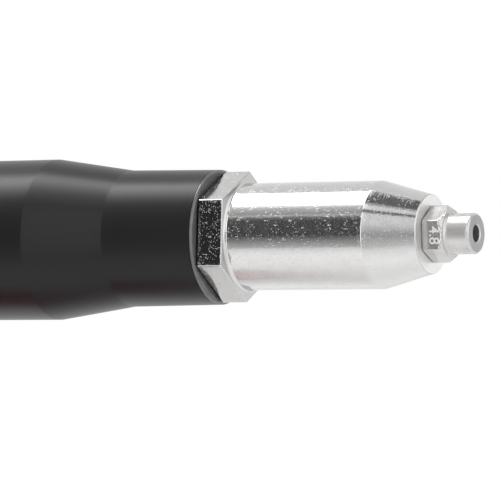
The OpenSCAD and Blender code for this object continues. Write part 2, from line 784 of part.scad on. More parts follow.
module motor_magnets() {
    r_out = motor_d / 2 - can_wall - fit;
    opening = 40;
    color([0.3, 0.3, 0.32])
        for (turn = [0, 180])
            intersection() {
                ring(core_x - 2, core_x + core_len + 2, 2 * r_out, magnet_in_d);
                translate([core_x - 3, 0, axis_z])
                    rotate([turn, 0, 0])
                        rotate([0, 90, 0])
                            linear_extrude(core_len + 6)
                                polygon([[0, 0], [-40, 40 * tan(opening / 2) * -1], [-40, -40], [0, -40],
                                    [40, -40], [40, -40 * tan(opening / 2)]]);
            }
}

module motor_shaft() {
    color("silver")
        turned([[cap_end_x + 2, 0], [cap_end_x + 2, shaft_d / 2 - 0.3], [cap_end_x + 2.3, shaft_d / 2],
            [first_disc_x - 0.6, shaft_d / 2], [first_disc_x - 0.3, shaft_d / 2 - 0.3],
            [first_disc_x - 0.3, 0]]);
}

// Laminated core with winding slots
slots = 10;
slot_r = 9.3;
module armature_core() {
    color("dimgray")
        difference() {
            rod(core_x, core_x + core_len, core_d);
            rod(core_x - 1, core_x + core_len + 1, shaft_d + 0.04);
            for (i = [0:slots - 1])
                around(i * 360 / slots, 0)
                    translate([core_x - 1, 0, 0]) {
                        translate([0, 0, slot_r])
                            rotate([0, 90, 0])
                                cylinder(h = core_len + 2, d = 4, $fn = 24);
                        translate([0, -0.6, slot_r])
                            cube([core_len + 2, 1.2, core_d / 2 - slot_r + 1]);
                    }
        }
}

// Copper windings: bars through the slots and the end turns
module armature_windings() {
    color("chocolate") {
        for (i = [0:slots - 1])
            around(i * 360 / slots, slot_r)
                rotate([0, 90, 0])
                    translate([0, 0, core_x - 1])
                        cylinder(h = core_len + 2, d = 3.7, $fn = 24);
        for (end = [[core_x - 4.2, core_x - 0.2], [core_x + core_len + 0.2, core_x + core_len + 4.2]])
            turned([[end[0], 4.6], [end[0], 9.4], [end[0] + 1.2, 11], [end[1] - 1.2, 11.4],
                [end[1], 11.2], [end[1], 4.6]]);
    }
}

module commutator() {
    bars = 10;
    color("darkgoldenrod")
        difference() {
            ring(core_x - 10.6, core_x - 4.6, 8.6, shaft_d + 0.04);
            for (i = [0:bars - 1])
                around(i * 360 / bars, 3.6)
                    translate([core_x - 11, -0.15, 0])
                        cube([7, 0.3, 2]);
        }
}

module cooling_fan() {
    fan_x = core_x + core_len + 4.6;
    fan_w = can_front_x - 2 - fan_x;
    color("white")
        difference() {
            union() {
                ring(fan_x, fan_x + 0.9, 25, shaft_d + 0.04);
                ring(fan_x, fan_x + fan_w, 7, shaft_d + 0.04);
                for (i = [0:8])
                    around(i * 40, 0)
                        translate([fan_x + 0.5, -0.45, 2.6])
                            cube([fan_w - 0.7, 0.9, 9.4]);
            }
            rod(fan_x - 1, fan_x + fan_w + 1, shaft_d + 0.04);
        }
}

module motor_bushes() {
    color("peru") {
        ring(can_front_x - 1.5, can_front_x + 2.4, bush_d, shaft_d + 0.06);
        ring(cap_end_x + 2.2, can_back_x - 0.4, bush_d, shaft_d + 0.06);
    }
}

// Plastic end cap with the brush holders
module brush_cap() {
    r = motor_d / 2;
    holder_x = core_x - 10.4;
    color([0.16, 0.16, 0.17])
        difference() {
            union() {
                turned([[cap_end_x, 0], [cap_end_x, r - 2.2], [cap_end_x + 2, r - 0.2],
                    [can_back_x - fit, r - 0.2], [can_back_x - fit, r - can_wall - fit],
                    [can_back_x + 2, r - can_wall - fit], [can_back_x + 2, r - can_wall - 2],
                    [can_back_x - 1, r - can_wall - 2], [can_back_x - 1, 0]]);
                for (side = [-1, 1])
                    translate([can_back_x - 1.5, side * 9.6 - 3.6, axis_z - 3.2])
                        cube([holder_x + 5.6 - can_back_x + 1.5, 7.2, 6.4]);
            }
            rod(cap_end_x + 1.4, can_back_x + 1, bush_d + 2 * fit);
            for (side = [-1, 1])
                translate([holder_x + 0.2 - fit, side * 9 - 5, axis_z - 1.8 - fit])
                    cube([4 + 2 * fit, 10, 3.6 + 2 * fit]);
        }
}

module brushes() {
    holder_x = core_x - 10.4;
    color([0.1, 0.1, 0.1])
        for (side = [-1, 1])
            translate([holder_x + 0.2, side * 8.1 - 3.7, axis_z - 1.8])
                cube([4, 7.4, 3.6]);
}

// Outside of the motor housing, grown or shrunk by an amount
module body_form(grow) {
    r = body_d / 2 + grow;
    nose_r = mouth_d / 2 + grow;
    turned(concat([[tail_end_x - grow, 0]],
        [for (p = arc(tail_end_x + tail_round, r - tail_round, tail_round + grow, 180, 90, 8))
            [p[0], p[1] - grow]],
        [for (i = [0:8]) let (a = 90 - i * 11.25)
            [shoulder_x + (mouth_x - shoulder_x) * cos(a), nose_r + (r - nose_r) * sin(a)]],
        [[mouth_x, 0]]), facets = 96);
}

// Sections of the handle from the battery foot up to the motor housing
grip_steps = 8;
function grip_x(t) = grip_bottom_x + (grip_top_x - grip_bottom_x) * t;
grip_z0 = foot_top_z + 8;
foot_half = foot_front_x / 2 + pack_len / 4 - 0.5;
foot_x = foot_front_x - foot_half;
handle_sections = concat(
    [[foot_z, foot_x, foot_half, pack_w / 2 - 1.5, 7],
        [foot_z + 11, foot_x, foot_half, pack_w / 2 - 1.5, 7],
        [foot_z + 15, foot_x - 0.6, foot_half - 1.2, pack_w / 2 - 3, 6],
        [foot_z + 18.5, foot_x - 3, foot_half - 5.5, pack_w / 2 - 7, 4.6],
        [foot_top_z, foot_x - 8, foot_half - 15, pack_w / 2 - 13, 3.4],
        [foot_top_z + 3, foot_x - 12, foot_half - 22, pack_w / 2 - 17.5, 2.8]],
    [for (k = [0:grip_steps]) let (t = k / grip_steps)
        [grip_z0 + (grip_top_z - grip_z0) * t, grip_x(t),
            grip_len / 2 + 2.5 * pow(1 - t, 3) + 5 * pow(t, 5) - 0.8 * sin(180 * t),
            grip_w / 2 + 1.2 * pow(1 - t, 4) + 1.4 * sin(180 * t) + 2.6 * pow(t, 6), 2.4]]);

// Pod under the mouth that holds the work light
pod_x = 24;
pod_front_x = 41;
pod_w = 20;
pod_bottom_z = axis_z - 33;
light_z = axis_z - 26.5;
module light_pod(grow) {
    translate([0, pod_w / 2 + grow, 0])
        rotate([90, 0, 0])
            linear_extrude(pod_w + 2 * grow)
                polygon(concat([[-8, axis_z - 20], [-8, pod_bottom_z + 8 - grow]],
                    [for (p = arc(pod_front_x - 5, pod_bottom_z + 5, 5 + grow, 270, 360, 5)) p],
                    [[pod_front_x + grow, axis_z - 21], [pod_front_x - 4, axis_z - 15]]));
}

// T-shaped space for the battery rail, with the latch pocket
module rail_channel() {
    neck = rail_neck_w / 2 + rail_gap;
    head = rail_w / 2 + rail_gap;
    deck = pack_h;
    translate([rail_front_x - rail_gap, -head, deck - 1])
        cube([pack_len, 2 * head, rail_h + rail_gap + 1]);
    translate([channel_back_x, 0, 0])
        rotate([90, 0, 90])
            linear_extrude(pack_len)
                polygon([[-neck, deck - 1], [neck, deck - 1], [neck, deck + rail_neck_h - rail_gap],
                    [head, deck + rail_neck_h - rail_gap], [head, deck + rail_h + rail_gap],
                    [-head, deck + rail_h + rail_gap], [-head, deck + rail_neck_h - rail_gap],
                    [-neck, deck + rail_neck_h - rail_gap]]);
    translate([latch_x - 0.5, -latch_w / 2 - 0.5, deck + rail_h])
        cube([latch_hook_len + 1, latch_w + 1, latch_hook_h + 0.6]);
}

// Slot of the housing that cools the motor
module vent(x, z, length) {
    for (end = [-1, 1])
        translate([x, 0, z + end * (length - 2.4) / 2])
            rotate([90, 0, 0])
                cylinder(h = body_d + 10, d = 2.4, center = true, $fn = 24);
    translate([x, 0, z])
        cube([2.4, body_d + 10, length - 2.4], center = true);
}

// Hollow of the housing
module housing_hollow() {
    inner_r = body_inner_d / 2;
    seat_r = barrel_flange_d / 2 + 0.15;
    seat_x = joint_x + flange_w + fit;
    inner_round = tail_round - 3;
    turned(concat([[tail_end_x + shell_wall, 0]],
        arc(tail_end_x + shell_wall + inner_round, inner_r - inner_round, inner_round, 180, 90, 5),
        [[joint_x - case_lip_w - 2, inner_r], [joint_x - case_lip_w - 2, case_body_d / 2 + 0.15],
            [joint_x - case_lip_w - 0.1, case_body_d / 2 + 0.15], [joint_x - case_lip_w - 0.1, seat_r],
            [seat_x, seat_r], [seat_x, barrel_rear_d / 2 + 0.15],
            [mouth_x + 1, barrel_rear_d / 2 + 0.15], [mouth_x + 1, 0]]));
    for (a = [45:90:315])
        around(a, case_screw_r)
            rotate([0, 90, 0])
                translate([0, 0, seat_x - 1])
                    cylinder(h = 4, d = case_screw_head_d + 1, $fn = 24);
    difference() {
        loft([for (s = handle_sections) [s[0], oval(s, -shell_wall)]]);
        translate([-80, -40, 0])
            cube([160, 80, foot_z + shell_wall]);
        translate([-80, -rail_w / 2 - rail_gap - shell_wall, 0])
            cube([160, rail_w + 2 * (rail_gap + shell_wall), foot_floor_z]);
        translate([latch_x - 3, -latch_w / 2 - 3, 0])
            cube([40, latch_w + 6, foot_floor_z + latch_hook_h + 0.6]);
    }
    translate([2, -pod_w / 2 + shell_wall, light_z + 1])
        cube([pod_front_x - 6, pod_w - 2 * shell_wall, 14]);
}

// Ribs that hold the gear case and the motor
module housing_ribs() {
    for (rib = [[case_end_x + 6, case_body_d], [can_front_x - 9, motor_d], [can_back_x + 6, motor_d]])
        ring(rib[0], rib[0] + 2, body_inner_d + 0.6, rib[1] + 0.4);
    ring(cap_end_x - 1.6, cap_end_x - 0.2, body_inner_d - 2, motor_d - 12);
    for (side = [-1, 1])
        for (z = [trigger_z - 12, trigger_z + 10])
            translate([switch_front_x - switch_len - 1, side > 0 ? switch_w / 2 + fit : -body_d, z])
                cube([switch_len, body_d - switch_w / 2 - fit, 2]);
}

// Outside of both housing shells together, grown or shrunk by an amount
module housing_outside(grow = 0) {
    body_form(grow);
    loft([for (s = handle_sections) [s[0], oval(s, grow)]]);
    light_pod(grow);
}

// Groove that shows where the two shells meet
module seam() {
    difference() {
        translate([mouth_x - 0.6 - 200, -seam_w / 2, foot_z + 0.6])
            cube([200, seam_w, 200]);
        housing_outside(-seam_depth);
    }
}

// Screw boss from the parting plane out through the wall
module boss(screw, side) {
    translate([screw[0], 0, screw[1]])
        rotate([side > 0 ? -90 : 90, 0, 0])
            cylinder(h = pack_w, d = boss_d, $fn = 32);
}

// One shell of the housing: side 1 is the left one, side -1 the right one
module housing_shell(side) {
    difference() {
        intersection() {
            housing_outside();
            translate([-120, side > 0 ? 0 : -120, 0])
                cube([260, 120, 260]);
        }
        difference() {
            housing_hollow();
            housing_ribs();
            for (screw = shell_screws)
                boss(screw, side);
        }
        rail_channel();
        trigger_opening();
        light_opening();
        seam();
        for (i = [0:4])
            vent(can_back_x + 14 + i * 6, axis_z, 15);
        for (screw = shell_screws)
            translate([screw[0], 0, screw[1]])
                rotate([90, 0, 0]) {
                    translate([0, 0, -screw[3]])
                        cylinder(h = screw[3] - screw[2], d = shell_screw_d + 2 * fit, $fn = 24);
                    translate([0, 0, -screw[2]])
                        cylinder(h = 60, d = shell_screw_head_d + 0.4, $fn = 24);
                }
    }
}

module housing_left() {
    color("firebrick")
        housing_shell(1);
}

module housing_right() {
    color("firebrick")
        housing_shell(-1);
}

// Screws that join the two shells
module housing_screws() {
    color("black")
        for (screw = shell_screws)
            translate([screw[0], 0, screw[1]])
                rotate([90, 0, 0]) {
                    translate([0, 0, -screw[3] + 0.5])
                        cylinder(h = screw[3] - screw[2] - 0.5, d = shell_screw_d, $fn = 24);
                    translate([0, 0, -screw[2]])
                        difference() {
                            cylinder(h = 2.2, d = shell_screw_head_d, $fn = 24);
                            for (turn = [0, 90])
                                rotate([0, 0, turn])
                                    translate([-1.5, -0.35, 1.2])
                                        cube([3, 0.7, 2]);
                        }
                }
}

// Trim ring round the barrel at the mouth of the housing
module mouth_ring() {
    r = mouth_d / 2;
    inner = barrel_rear_d / 2 + fit;
    color([0.1, 0.1, 0.1])
        turned(concat([[mouth_x + fit, inner], [mouth_x + fit, r]],
            arc(mouth_x + 2.4, r - 1.6, 1.6, 90, 0, 5), [[mouth_x + 4, inner]]));
}

// Rubber cover round the grip, one half to each shell
module grip_cover(side) {
    low_z = foot_top_z + 7;
    top_z = axis_z - 27;
    under_trigger_z = trigger_z - trigger_h / 2 - 3;
    corner_x = trigger_back_x + 2.4;
    corner_r = grip_w / 2;
    far = pack_len / 2;
    difference() {
        intersection() {
            loft([for (s = handle_sections) if (s[0] > foot_top_z) [s[0], oval(s, cover_wall)]]);
            translate([0, side > 0 ? grip_w : 0, 0])
                rotate([90, 0, 0])
                    linear_extrude(grip_w)
                        polygon(concat([[-far, low_z - 1.4], [grip_bottom_x, low_z], [far, low_z + 5]],
                            [[far, under_trigger_z], [corner_x, under_trigger_z]],
                            arc(corner_x, under_trigger_z + corner_r, corner_r, 270, 215, 5),
                            [[grip_top_x - 6, top_z - 6], [grip_bottom_x, top_z], [-far, top_z - 3.4]]));
        }
        loft([for (s = handle_sections) if (s[0] > foot_top_z) [s[0], oval(s, fit)]]);
        for (screw = shell_screws)
            translate([screw[0], 0, screw[1]])
                rotate([90, 0, 0])
                    cylinder(h = 60, d = shell_screw_head_d + 0.4, $fn = 24);
    }
}

module grip_cover_left() {
    color([0.15, 0.15, 0.15])
        grip_cover(1);
}

module grip_cover_right() {
    color([0.15, 0.15, 0.15])
        grip_cover(-1);
}

// Trigger seen from the side, with its finger curve
trigger_back_x = 6.6;
module trigger() {
    half = trigger_h / 2;
    finger_r = 17;
    sag = finger_r - sqrt(finger_r * finger_r - (half - 2) * (half - 2));
    color([0.12, 0.12, 0.12]) {
        translate([0, trigger_w / 2, 0])
            rotate([90, 0, 0])
                linear_extrude(trigger_w)
                    polygon(concat([[trigger_back_x, trigger_z - half + 1],
                            [trigger_back_x, trigger_z + half - 1], [trigger_back_x + 3, trigger_z + half]],
                        arc(trigger_front_x - 1.6, trigger_z + half - 1.6, 1.6, 90, 10, 4),
                        [for (i = [1:7]) let (z = (half - 3) * (1 - i / 4),
                            x = sqrt(finger_r * finger_r - z * z) - finger_r + sag)
                            [trigger_front_x - x - 0.4, trigger_z + z]],
                        arc(trigger_front_x - 1.6, trigger_z - half + 1.6, 1.6, -10, -90, 4),
                        [[trigger_back_x + 3, trigger_z - half]]));
        translate([switch_front_x - 5, 0, trigger_z + 4])
            rotate([0, 90, 0])
                cylinder(h = trigger_back_x - switch_front_x + 5.5, d = 4, $fn = 32);
    }
}

module trigger_opening() {
    back = trigger_back_x - trigger_travel - 0.4;
    translate([back, -trigger_w / 2 - 0.3, trigger_z - trigger_h / 2 - 0.3])
        cube([trigger_front_x + 0.5 - back, trigger_w + 0.6, trigger_h + 0.6]);
}

module trigger_spring() {
    color("silver")
        translate([switch_front_x + 0.1, 0, trigger_z - 6])
            rotate([0, 90, 0])
                coil(trigger_back_x - switch_front_x - 0.2, 5, 0.7, 5);
}

// Variable-speed switch that the trigger works
module switch_module() {
    color([0.2, 0.2, 0.22])
        difference() {
            union() {
                translate([switch_front_x - switch_len, -switch_w / 2, trigger_z - switch_h / 2])
                    cube([switch_len, switch_w, switch_h]);
                translate([switch_front_x - switch_len - 2, -5, trigger_z - 8])
                    cube([2 + tiny, 10, 12]);
            }
            translate([switch_front_x - 6 - trigger_travel, 0, trigger_z + 4])
                rotate([0, 90, 0])
                    cylinder(h = trigger_travel + 7, d = 4.4, $fn = 32);
        }
}

// Lamp and its clear lens
module work_light() {
    color("white") {
        translate([pod_front_x - 3.6, 0, light_z])
            rotate([0, 90, 0])
                cylinder(h = 3.4, d = 7.6, $fn = 48);
        translate([pod_front_x - 8, 0, light_z])
            rotate([0, 90, 0])
                cylinder(h = 4.4 + tiny, d = 4.8, $fn = 32);
    }
}

module light_opening() {
    translate([pod_front_x - 3.8, 0, light_z])
        rotate([0, 90, 0])
            cylinder(h = 8, d = 8, $fn = 48);
    translate([pod_front_x - 16, 0, light_z])
        rotate([0, 90, 0])
            cylinder(h = 14, d = 5.2, $fn = 32);
}

// Circuit board in the foot, with its transistors and capacitor
module control_board() {
    board_z = foot_floor_z + fit;
    color("darkgreen")
        translate([-37, -20, board_z])
            cube([64, 40, 1.6]);
    color([0.12, 0.12, 0.12])
        for (i = [0:3])
            translate([2 + i * 6, -14, board_z + 1.6])
                cube([4.4, 9, 1.8]);
    color("silver")
        translate([-20, 0, board_z + 1.6])
            cylinder(h = 8, d = 8, $fn = 32);
}

// Contact block at the back of the rail, with three blades
module terminal_block() {
    block_w = rail_back_x - 0.6 - channel_back_x - fit;
    color([0.15, 0.15, 0.15])
        translate([channel_back_x + fit, -16, pack_h + 1])
            cube([block_w, 32, rail_h + rail_gap - 1 - fit]);
    color("gold")
        for (y = contact_places)
            translate([channel_back_x + block_w, y - 0.4, pack_h + 2.6])
                cube([11.5, 0.8, 5]);
}

// Battery pack
cells = 5;
cell_pitch = cell_d + 0.5;
pack_wall = 2.6;
cell_z = pack_wall + 0.3 + cell_d / 2;
pack_split_z = 21;
pack_corner = 9;
contact_places = [-10, 0, 10];
latch_w = 20;
latch_x = 38;
latch_hook_len = 5;
latch_hook_h = 3;
latch_floor_z = pack_h - 2.4 - latch_travel - 1;

// Outline of the pack, drawn in by an inset
function pack_outline(z, inset) =
    [z, rounded_rectangle(pack_len - 2 * inset, pack_w - 2 * inset, pack_corner - min(inset, 4))];

module battery_case() {
    rib_w = 2;
    color([0.13, 0.13, 0.14])
        difference() {
            loft([pack_outline(0, 1.6), pack_outline(1.6, 0), pack_outline(pack_split_z, 0)]);
            difference() {
                loft([pack_outline(pack_wall, pack_wall), pack_outline(pack_split_z + 1, pack_wall)]);
                for (y = [-22, 0, 22])
                    translate([-cell_pitch * cells / 2, y - rib_w / 2, 0])
                        cube([cell_pitch * cells, rib_w, cell_z - 3]);
            }
            cell_row(cell_d + 2 * fit, cell_len + 1);
        }
}

// Lid of the pack with the T-shaped rail that slides into the foot
module battery_lid() {
    board_top = pack_h - 6.8;
    color([0.13, 0.13, 0.14])
        difference() {
            union() {
                difference() {
                    loft([pack_outline(pack_split_z + fit, 0), pack_outline(pack_h - 1.2, 0),
                        pack_outline(pack_h, 1.2)]);
                    loft([pack_outline(pack_split_z - 1, pack_wall),
                        pack_outline(pack_h - pack_wall, pack_wall)]);
                }
                translate([rail_back_x, -rail_neck_w / 2, pack_h - 1])
                    cube([rail_front_x - rail_back_x + 1, rail_neck_w, rail_neck_h + 2]);
                translate([rail_back_x, -rail_w / 2, pack_h + rail_neck_h])
                    cube([rail_front_x - rail_back_x + 1, rail_w, rail_h - rail_neck_h]);
                translate([rail_front_x, -rail_w / 2, pack_h - 1])
                    cube([foot_front_x - rail_front_x, rail_w, rail_h + 1]);
                translate([latch_x - 2.4, -latch_w / 2 - 2.4, latch_floor_z - 2])
                    cube([pack_len / 2 - latch_x, latch_w + 4.8, pack_h - latch_floor_z + 1]);
                for (x = [-36, 26])
                    for (y = [-21, 21])
                        translate([x, y, board_top])
                            cylinder(h = pack_h - board_top - 1, d = 5, $fn = 32);
            }
            for (y = contact_places)
                translate([rail_back_x - 1, y - 0.8, pack_h + 2])
                    cube([13, 1.6, 6.4]);
            latch_space();
        }
}

// The row of cells as plain cylinders
module cell_row(d, length) {
    for (i = [0:cells - 1])
        translate([(i - (cells - 1) / 2) * cell_pitch, 0, cell_z])
            rotate([90, 0, 0])
                cylinder(h = length, d = d, center = true, $fn = 48);
}

// Five lithium cells side by side
module battery_cells() {
    color("teal")
        cell_row(cell_d, cell_len - 1.4);
    color("silver")
        cell_row(cell_d - 5, cell_len);
}

module battery_board() {
    color("darkgreen")
        translate([-40, -25, pack_h - 8.4])
            cube([70, 50, 1.6]);
    color("black")
        for (x = [-20, -4, 12])
            translate([x, -12, pack_h - 6.8])
                cube([7, 9, 1.6]);
}

// Well in the lid that the latch button works in
module latch_space() {
    translate([latch_x - 0.4, -latch_w / 2 - 0.4, latch_floor_z])
        cube([pack_len / 2 - pack_wall - latch_x + 0.4, latch_w + 0.8, 60]);
    translate([latch_x - 0.4, -latch_w / 2 - 0.4, pack_h - latch_travel])
        cube([pack_len, latch_w + 0.8, 60]);
}

// Button and hook that lock the pack to the foot
module latch_button() {
    hook_top = pack_h + rail_h + latch_hook_h;
    bottom = pack_h - 2.4;
    body_x = pack_len / 2 - pack_wall - 0.4;
    front_x = pack_len / 2 - 0.8;
    color([0.75, 0.1, 0.08])
        translate([0, latch_w / 2, 0])
            rotate([90, 0, 0])
                linear_extrude(latch_w)
                    polygon([[latch_x, bottom], [latch_x, hook_top], [latch_x + 1.5, hook_top],
                        [latch_x + latch_hook_len, hook_top - 2.4], [latch_x + latch_hook_len, pack_h + 6],
                        [foot_front_x + 1, pack_h + 5.4], [front_x - 1.2, pack_h + 4],
                        [front_x, pack_h + 2.8], [front_x, pack_h + 0.4], [body_x, pack_h + 0.4],
                        [body_x, bottom]]);
}

module latch_spring() {
    color("silver")
        translate([latch_x + 6.5, 0, latch_floor_z + 0.1])
            coil(latch_travel + 0.8, 5, 0.7, 4);
}

nosepiece();
nose_sleeve();
barrel();
jaw_case();
jaw(0);  // jaw_1
jaw(120);  // jaw_2
jaw(240);  // jaw_3
jaw_pusher();
jaw_spring();
draw_tube();
screw_nut();
nut_key();
return_buffer();
drive_screw();
thrust_plate();
thrust_bearing();
thrust_race();
screw_bearing();
screw_bearing_race();
gear_case();
case_screws();
ring_gear();
output_carrier();
planet(output_planet_x, 0);  // output_planet_1
planet(output_planet_x, 1);  // output_planet_2
planet(output_planet_x, 2);  // output_planet_3
first_carrier();
planet(first_planet_x, 0);  // first_planet_1
planet(first_planet_x, 1);  // first_planet_2
planet(first_planet_x, 2);  // first_planet_3
motor_pinion();
motor_plate();
motor_can();
motor_magnets();
motor_shaft();
armature_core();
armature_windings();
commutator();
cooling_fan();
motor_bushes();
brush_cap();
brushes();
housing_left();
housing_right();
housing_screws();
mouth_ring();
grip_cover_left();
grip_cover_right();
trigger();
trigger_spring();
switch_module();
work_light();
control_board();
terminal_block();
battery_case();
battery_lid();
battery_cells();
battery_board();
latch_button();
latch_spring();
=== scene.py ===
"""Finish of a battery electric riveter: plated nose, black barrel, moulded housing and battery pack."""

import json
import math

import bmesh
import bpy
from bpy.props import FloatProperty, FloatVectorProperty, PointerProperty
from mathutils import Matrix, Vector


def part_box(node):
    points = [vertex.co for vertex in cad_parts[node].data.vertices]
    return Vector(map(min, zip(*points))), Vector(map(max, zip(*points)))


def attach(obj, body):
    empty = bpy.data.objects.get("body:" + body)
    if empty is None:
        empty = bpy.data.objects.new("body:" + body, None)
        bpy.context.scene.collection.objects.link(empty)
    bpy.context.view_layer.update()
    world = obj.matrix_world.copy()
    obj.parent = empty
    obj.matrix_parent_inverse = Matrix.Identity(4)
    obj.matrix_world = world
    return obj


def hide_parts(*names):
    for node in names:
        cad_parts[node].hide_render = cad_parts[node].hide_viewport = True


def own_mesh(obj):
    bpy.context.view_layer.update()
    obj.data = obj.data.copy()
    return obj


bl_info = {
    "name": "Electric Riveter Finish",
    "version": (1, 0, 0),
    "blender": (4, 5, 0),
    "location": "View3D > Sidebar > Riveter",
    "description": "Builds the finished nose, barrel, housing and battery pack of an electric riveter",
    "category": "Object",
}

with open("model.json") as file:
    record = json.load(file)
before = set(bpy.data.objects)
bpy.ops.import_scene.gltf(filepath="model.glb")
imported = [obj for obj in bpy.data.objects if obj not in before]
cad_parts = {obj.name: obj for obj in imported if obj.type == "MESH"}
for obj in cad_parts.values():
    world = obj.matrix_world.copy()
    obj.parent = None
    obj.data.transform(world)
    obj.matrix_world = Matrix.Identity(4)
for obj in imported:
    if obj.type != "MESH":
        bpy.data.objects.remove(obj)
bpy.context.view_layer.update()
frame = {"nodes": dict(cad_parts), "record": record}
nodes = frame["nodes"]
MM = 0.001
AXIS_Z = (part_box("barrel")[0].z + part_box("barrel")[1].z) / 2 / MM
BARREL_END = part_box("barrel")[1].x / MM
SLEEVE_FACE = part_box("nose_sleeve")[1].x / MM
SLEEVE_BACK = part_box("nose_sleeve")[0].x / MM
TIP_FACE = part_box("nosepiece")[1].x / MM
TAIL_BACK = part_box("nosepiece")[0].x / MM
WRENCH_END = BARREL_END + 5.6  # front face of the sleeve's hexagon
TAPER_START = SLEEVE_FACE - 10.1  # where the sleeve begins to narrow
FACETS = 300  # round a turned piece
SHARP_ANGLE = math.radians(38)


def linear(hex_colour):
    """Linear colour with alpha 1 from an sRGB hex value."""
    parts = [int(hex_colour[i : i + 2], 16) / 255 for i in (1, 3, 5)]
    return [c / 12.92 if c < 0.04045 else ((c + 0.055) / 1.055) ** 2.4 for c in parts] + [1.0]


# ---- sizes and colours that a user may change


class NoseSizes(bpy.types.PropertyGroup):
    sleeve_hexagon: FloatProperty(
        name="Sleeve hexagon", description="Wrench size of the sleeve", default=0.0222, unit="LENGTH"
    )
    sleeve_radius: FloatProperty(
        name="Sleeve radius", description="Radius of the straight part", default=0.0104, unit="LENGTH"
    )
    nosepiece_hexagon: FloatProperty(
        name="Nosepiece hexagon", description="Wrench size of the nosepiece", default=0.0095, unit="LENGTH"
    )
    edge: FloatProperty(
        name="Edge radius", description="Rounding of the machined edges", default=0.00018, unit="LENGTH"
    )


class FinishColours(bpy.types.PropertyGroup):
    plate: FloatVectorProperty(
        name="Plating", description="Colour of the bright plating", size=4, subtype="COLOR",
        default=linear("#CBCBC9"), min=0, max=1,
    )
    barrel: FloatVectorProperty(
        name="Barrel", description="Colour of the black barrel", size=4, subtype="COLOR",
        default=linear("#161617"), min=0, max=1,
    )
    shell: FloatVectorProperty(
        name="Housing", description="Colour of the moulded shells", size=4, subtype="COLOR",
        default=linear("#B01A1E"), min=0, max=1,
    )
    grip: FloatVectorProperty(
        name="Grip cover", description="Colour of the rubber cover", size=4, subtype="COLOR",
        default=linear("#242425"), min=0, max=1,
    )


class StageSettings(bpy.types.PropertyGroup):
    azimuth: FloatProperty(
        name="Azimuth", description="Angle of the camera round the tool", subtype="ANGLE",
        default=math.radians(27.586),
    )
    elevation: FloatProperty(
        name="Elevation", description="Angle of the camera over the nose axis", subtype="ANGLE",
        default=math.radians(-1.457),
    )
    distance: FloatProperty(
        name="Distance", description="From the camera to the point it looks at", default=0.873156,
        unit="LENGTH",
    )
    lens: FloatProperty(name="Lens", description="Focal length in millimetres", default=324.0)
    target_x: FloatProperty(
        name="Target along the axis", description="Where on the axis the camera looks", default=0.131527,
        unit="LENGTH",
    )
    target_drop: FloatProperty(
        name="Target under the axis", description="How far under the axis", default=0.00255,
        unit="LENGTH",
    )


# ---- node and mesh tools


def add(tree, kind, values=None, links=None, **settings):
    """Adds one shader node with its settings, input values and incoming links."""
    node = tree.nodes.new("ShaderNode" + kind)
    for key, value in settings.items():
        setattr(node, key, value)
    for key, value in (values or {}).items():
        node.inputs[key].default_value = value
    for key, socket in (links or {}).items():
        tree.links.new(socket, node.inputs[key])
    return node


def start_material(name):
    """A cleared node material, and coordinates in millimetres of the row frame."""
    material = bpy.data.materials.new(name)
    material.use_nodes = True
    tree = material.node_tree
    tree.nodes.clear()
    place = add(tree, "TexCoord")
    mm = add(tree, "Mapping", {"Scale": (1000, 1000, 1000)}, {"Vector": place.outputs["Object"]})
    return material, tree, mm.outputs["Vector"]


def finish_material(tree, values, links, bump, distance):
    """Principled surface with a bump height, whose full depth is distance in metres."""
    shader = add(tree, "BsdfPrincipled", values, links)
    relief = add(tree, "Bump", {"Strength": 1.0, "Distance": distance}, {"Height": bump})
    tree.links.new(relief.outputs["Normal"], shader.inputs["Normal"])
    add(tree, "OutputMaterial", links={"Surface": shader.outputs["BSDF"]})


def stretched(tree, vector, scale):
    """Coordinates scaled by a different factor along each axis."""
    return add(tree, "Mapping", {"Scale": scale}, {"Vector": vector}).outputs["Vector"]


def noise(tree, vector, size_mm, detail=2.0, roughness=0.5):
    """Noise whose blotches are about size_mm wide."""
    return add(
        tree, "TexNoise", {"Scale": 1 / size_mm, "Detail": detail, "Roughness": roughness},
        {"Vector": vector},
    ).outputs["Fac"]


def ramp(tree, value, low, high, to_low=0.0, to_high=1.0):
    """Maps low..high to to_low..to_high, held at the ends."""
    return add(
        tree, "MapRange", {"From Min": low, "From Max": high, "To Min": to_low, "To Max": to_high},
        {"Value": value},
    ).outputs["Result"]


def blend_colours(tree, factor, first, second):
    """Colour between two, by a factor."""
    node = add(tree, "Mix", data_type="RGBA")
    tree.links.new(factor, node.inputs["Factor"])
    node.inputs["A"].default_value = first
    node.inputs["B"].default_value = second
    return node.outputs["Result"]


def blend(tree, factor, first, second):
    """Value between two, each a number or a socket, by a factor."""
    node = add(tree, "Mix", links={"Factor": factor}, data_type="FLOAT")
    for slot, value in (("A", first), ("B", second)):
        if isinstance(value, (int, float)):
            node.inputs[slot].default_value = value
        else:
            tree.links.new(value, node.inputs[slot])
    return node.outputs["Result"]


def combine(tree, first, second, operation="ADD", amount=None):
    """A maths node on two sockets, or on a socket and a number."""
    node = add(tree, "Math", operation=operation)
    tree.links.new(first, node.inputs[0])
    if amount is None:
        tree.links.new(second, node.inputs[1])
    else:
        node.inputs[1].default_value = amount
    return node.outputs["Value"]


def dress(name, material):
    """Gives a CAD node one material."""
    mesh = nodes[name].data
    mesh.materials.clear()
    mesh.materials.append(material)


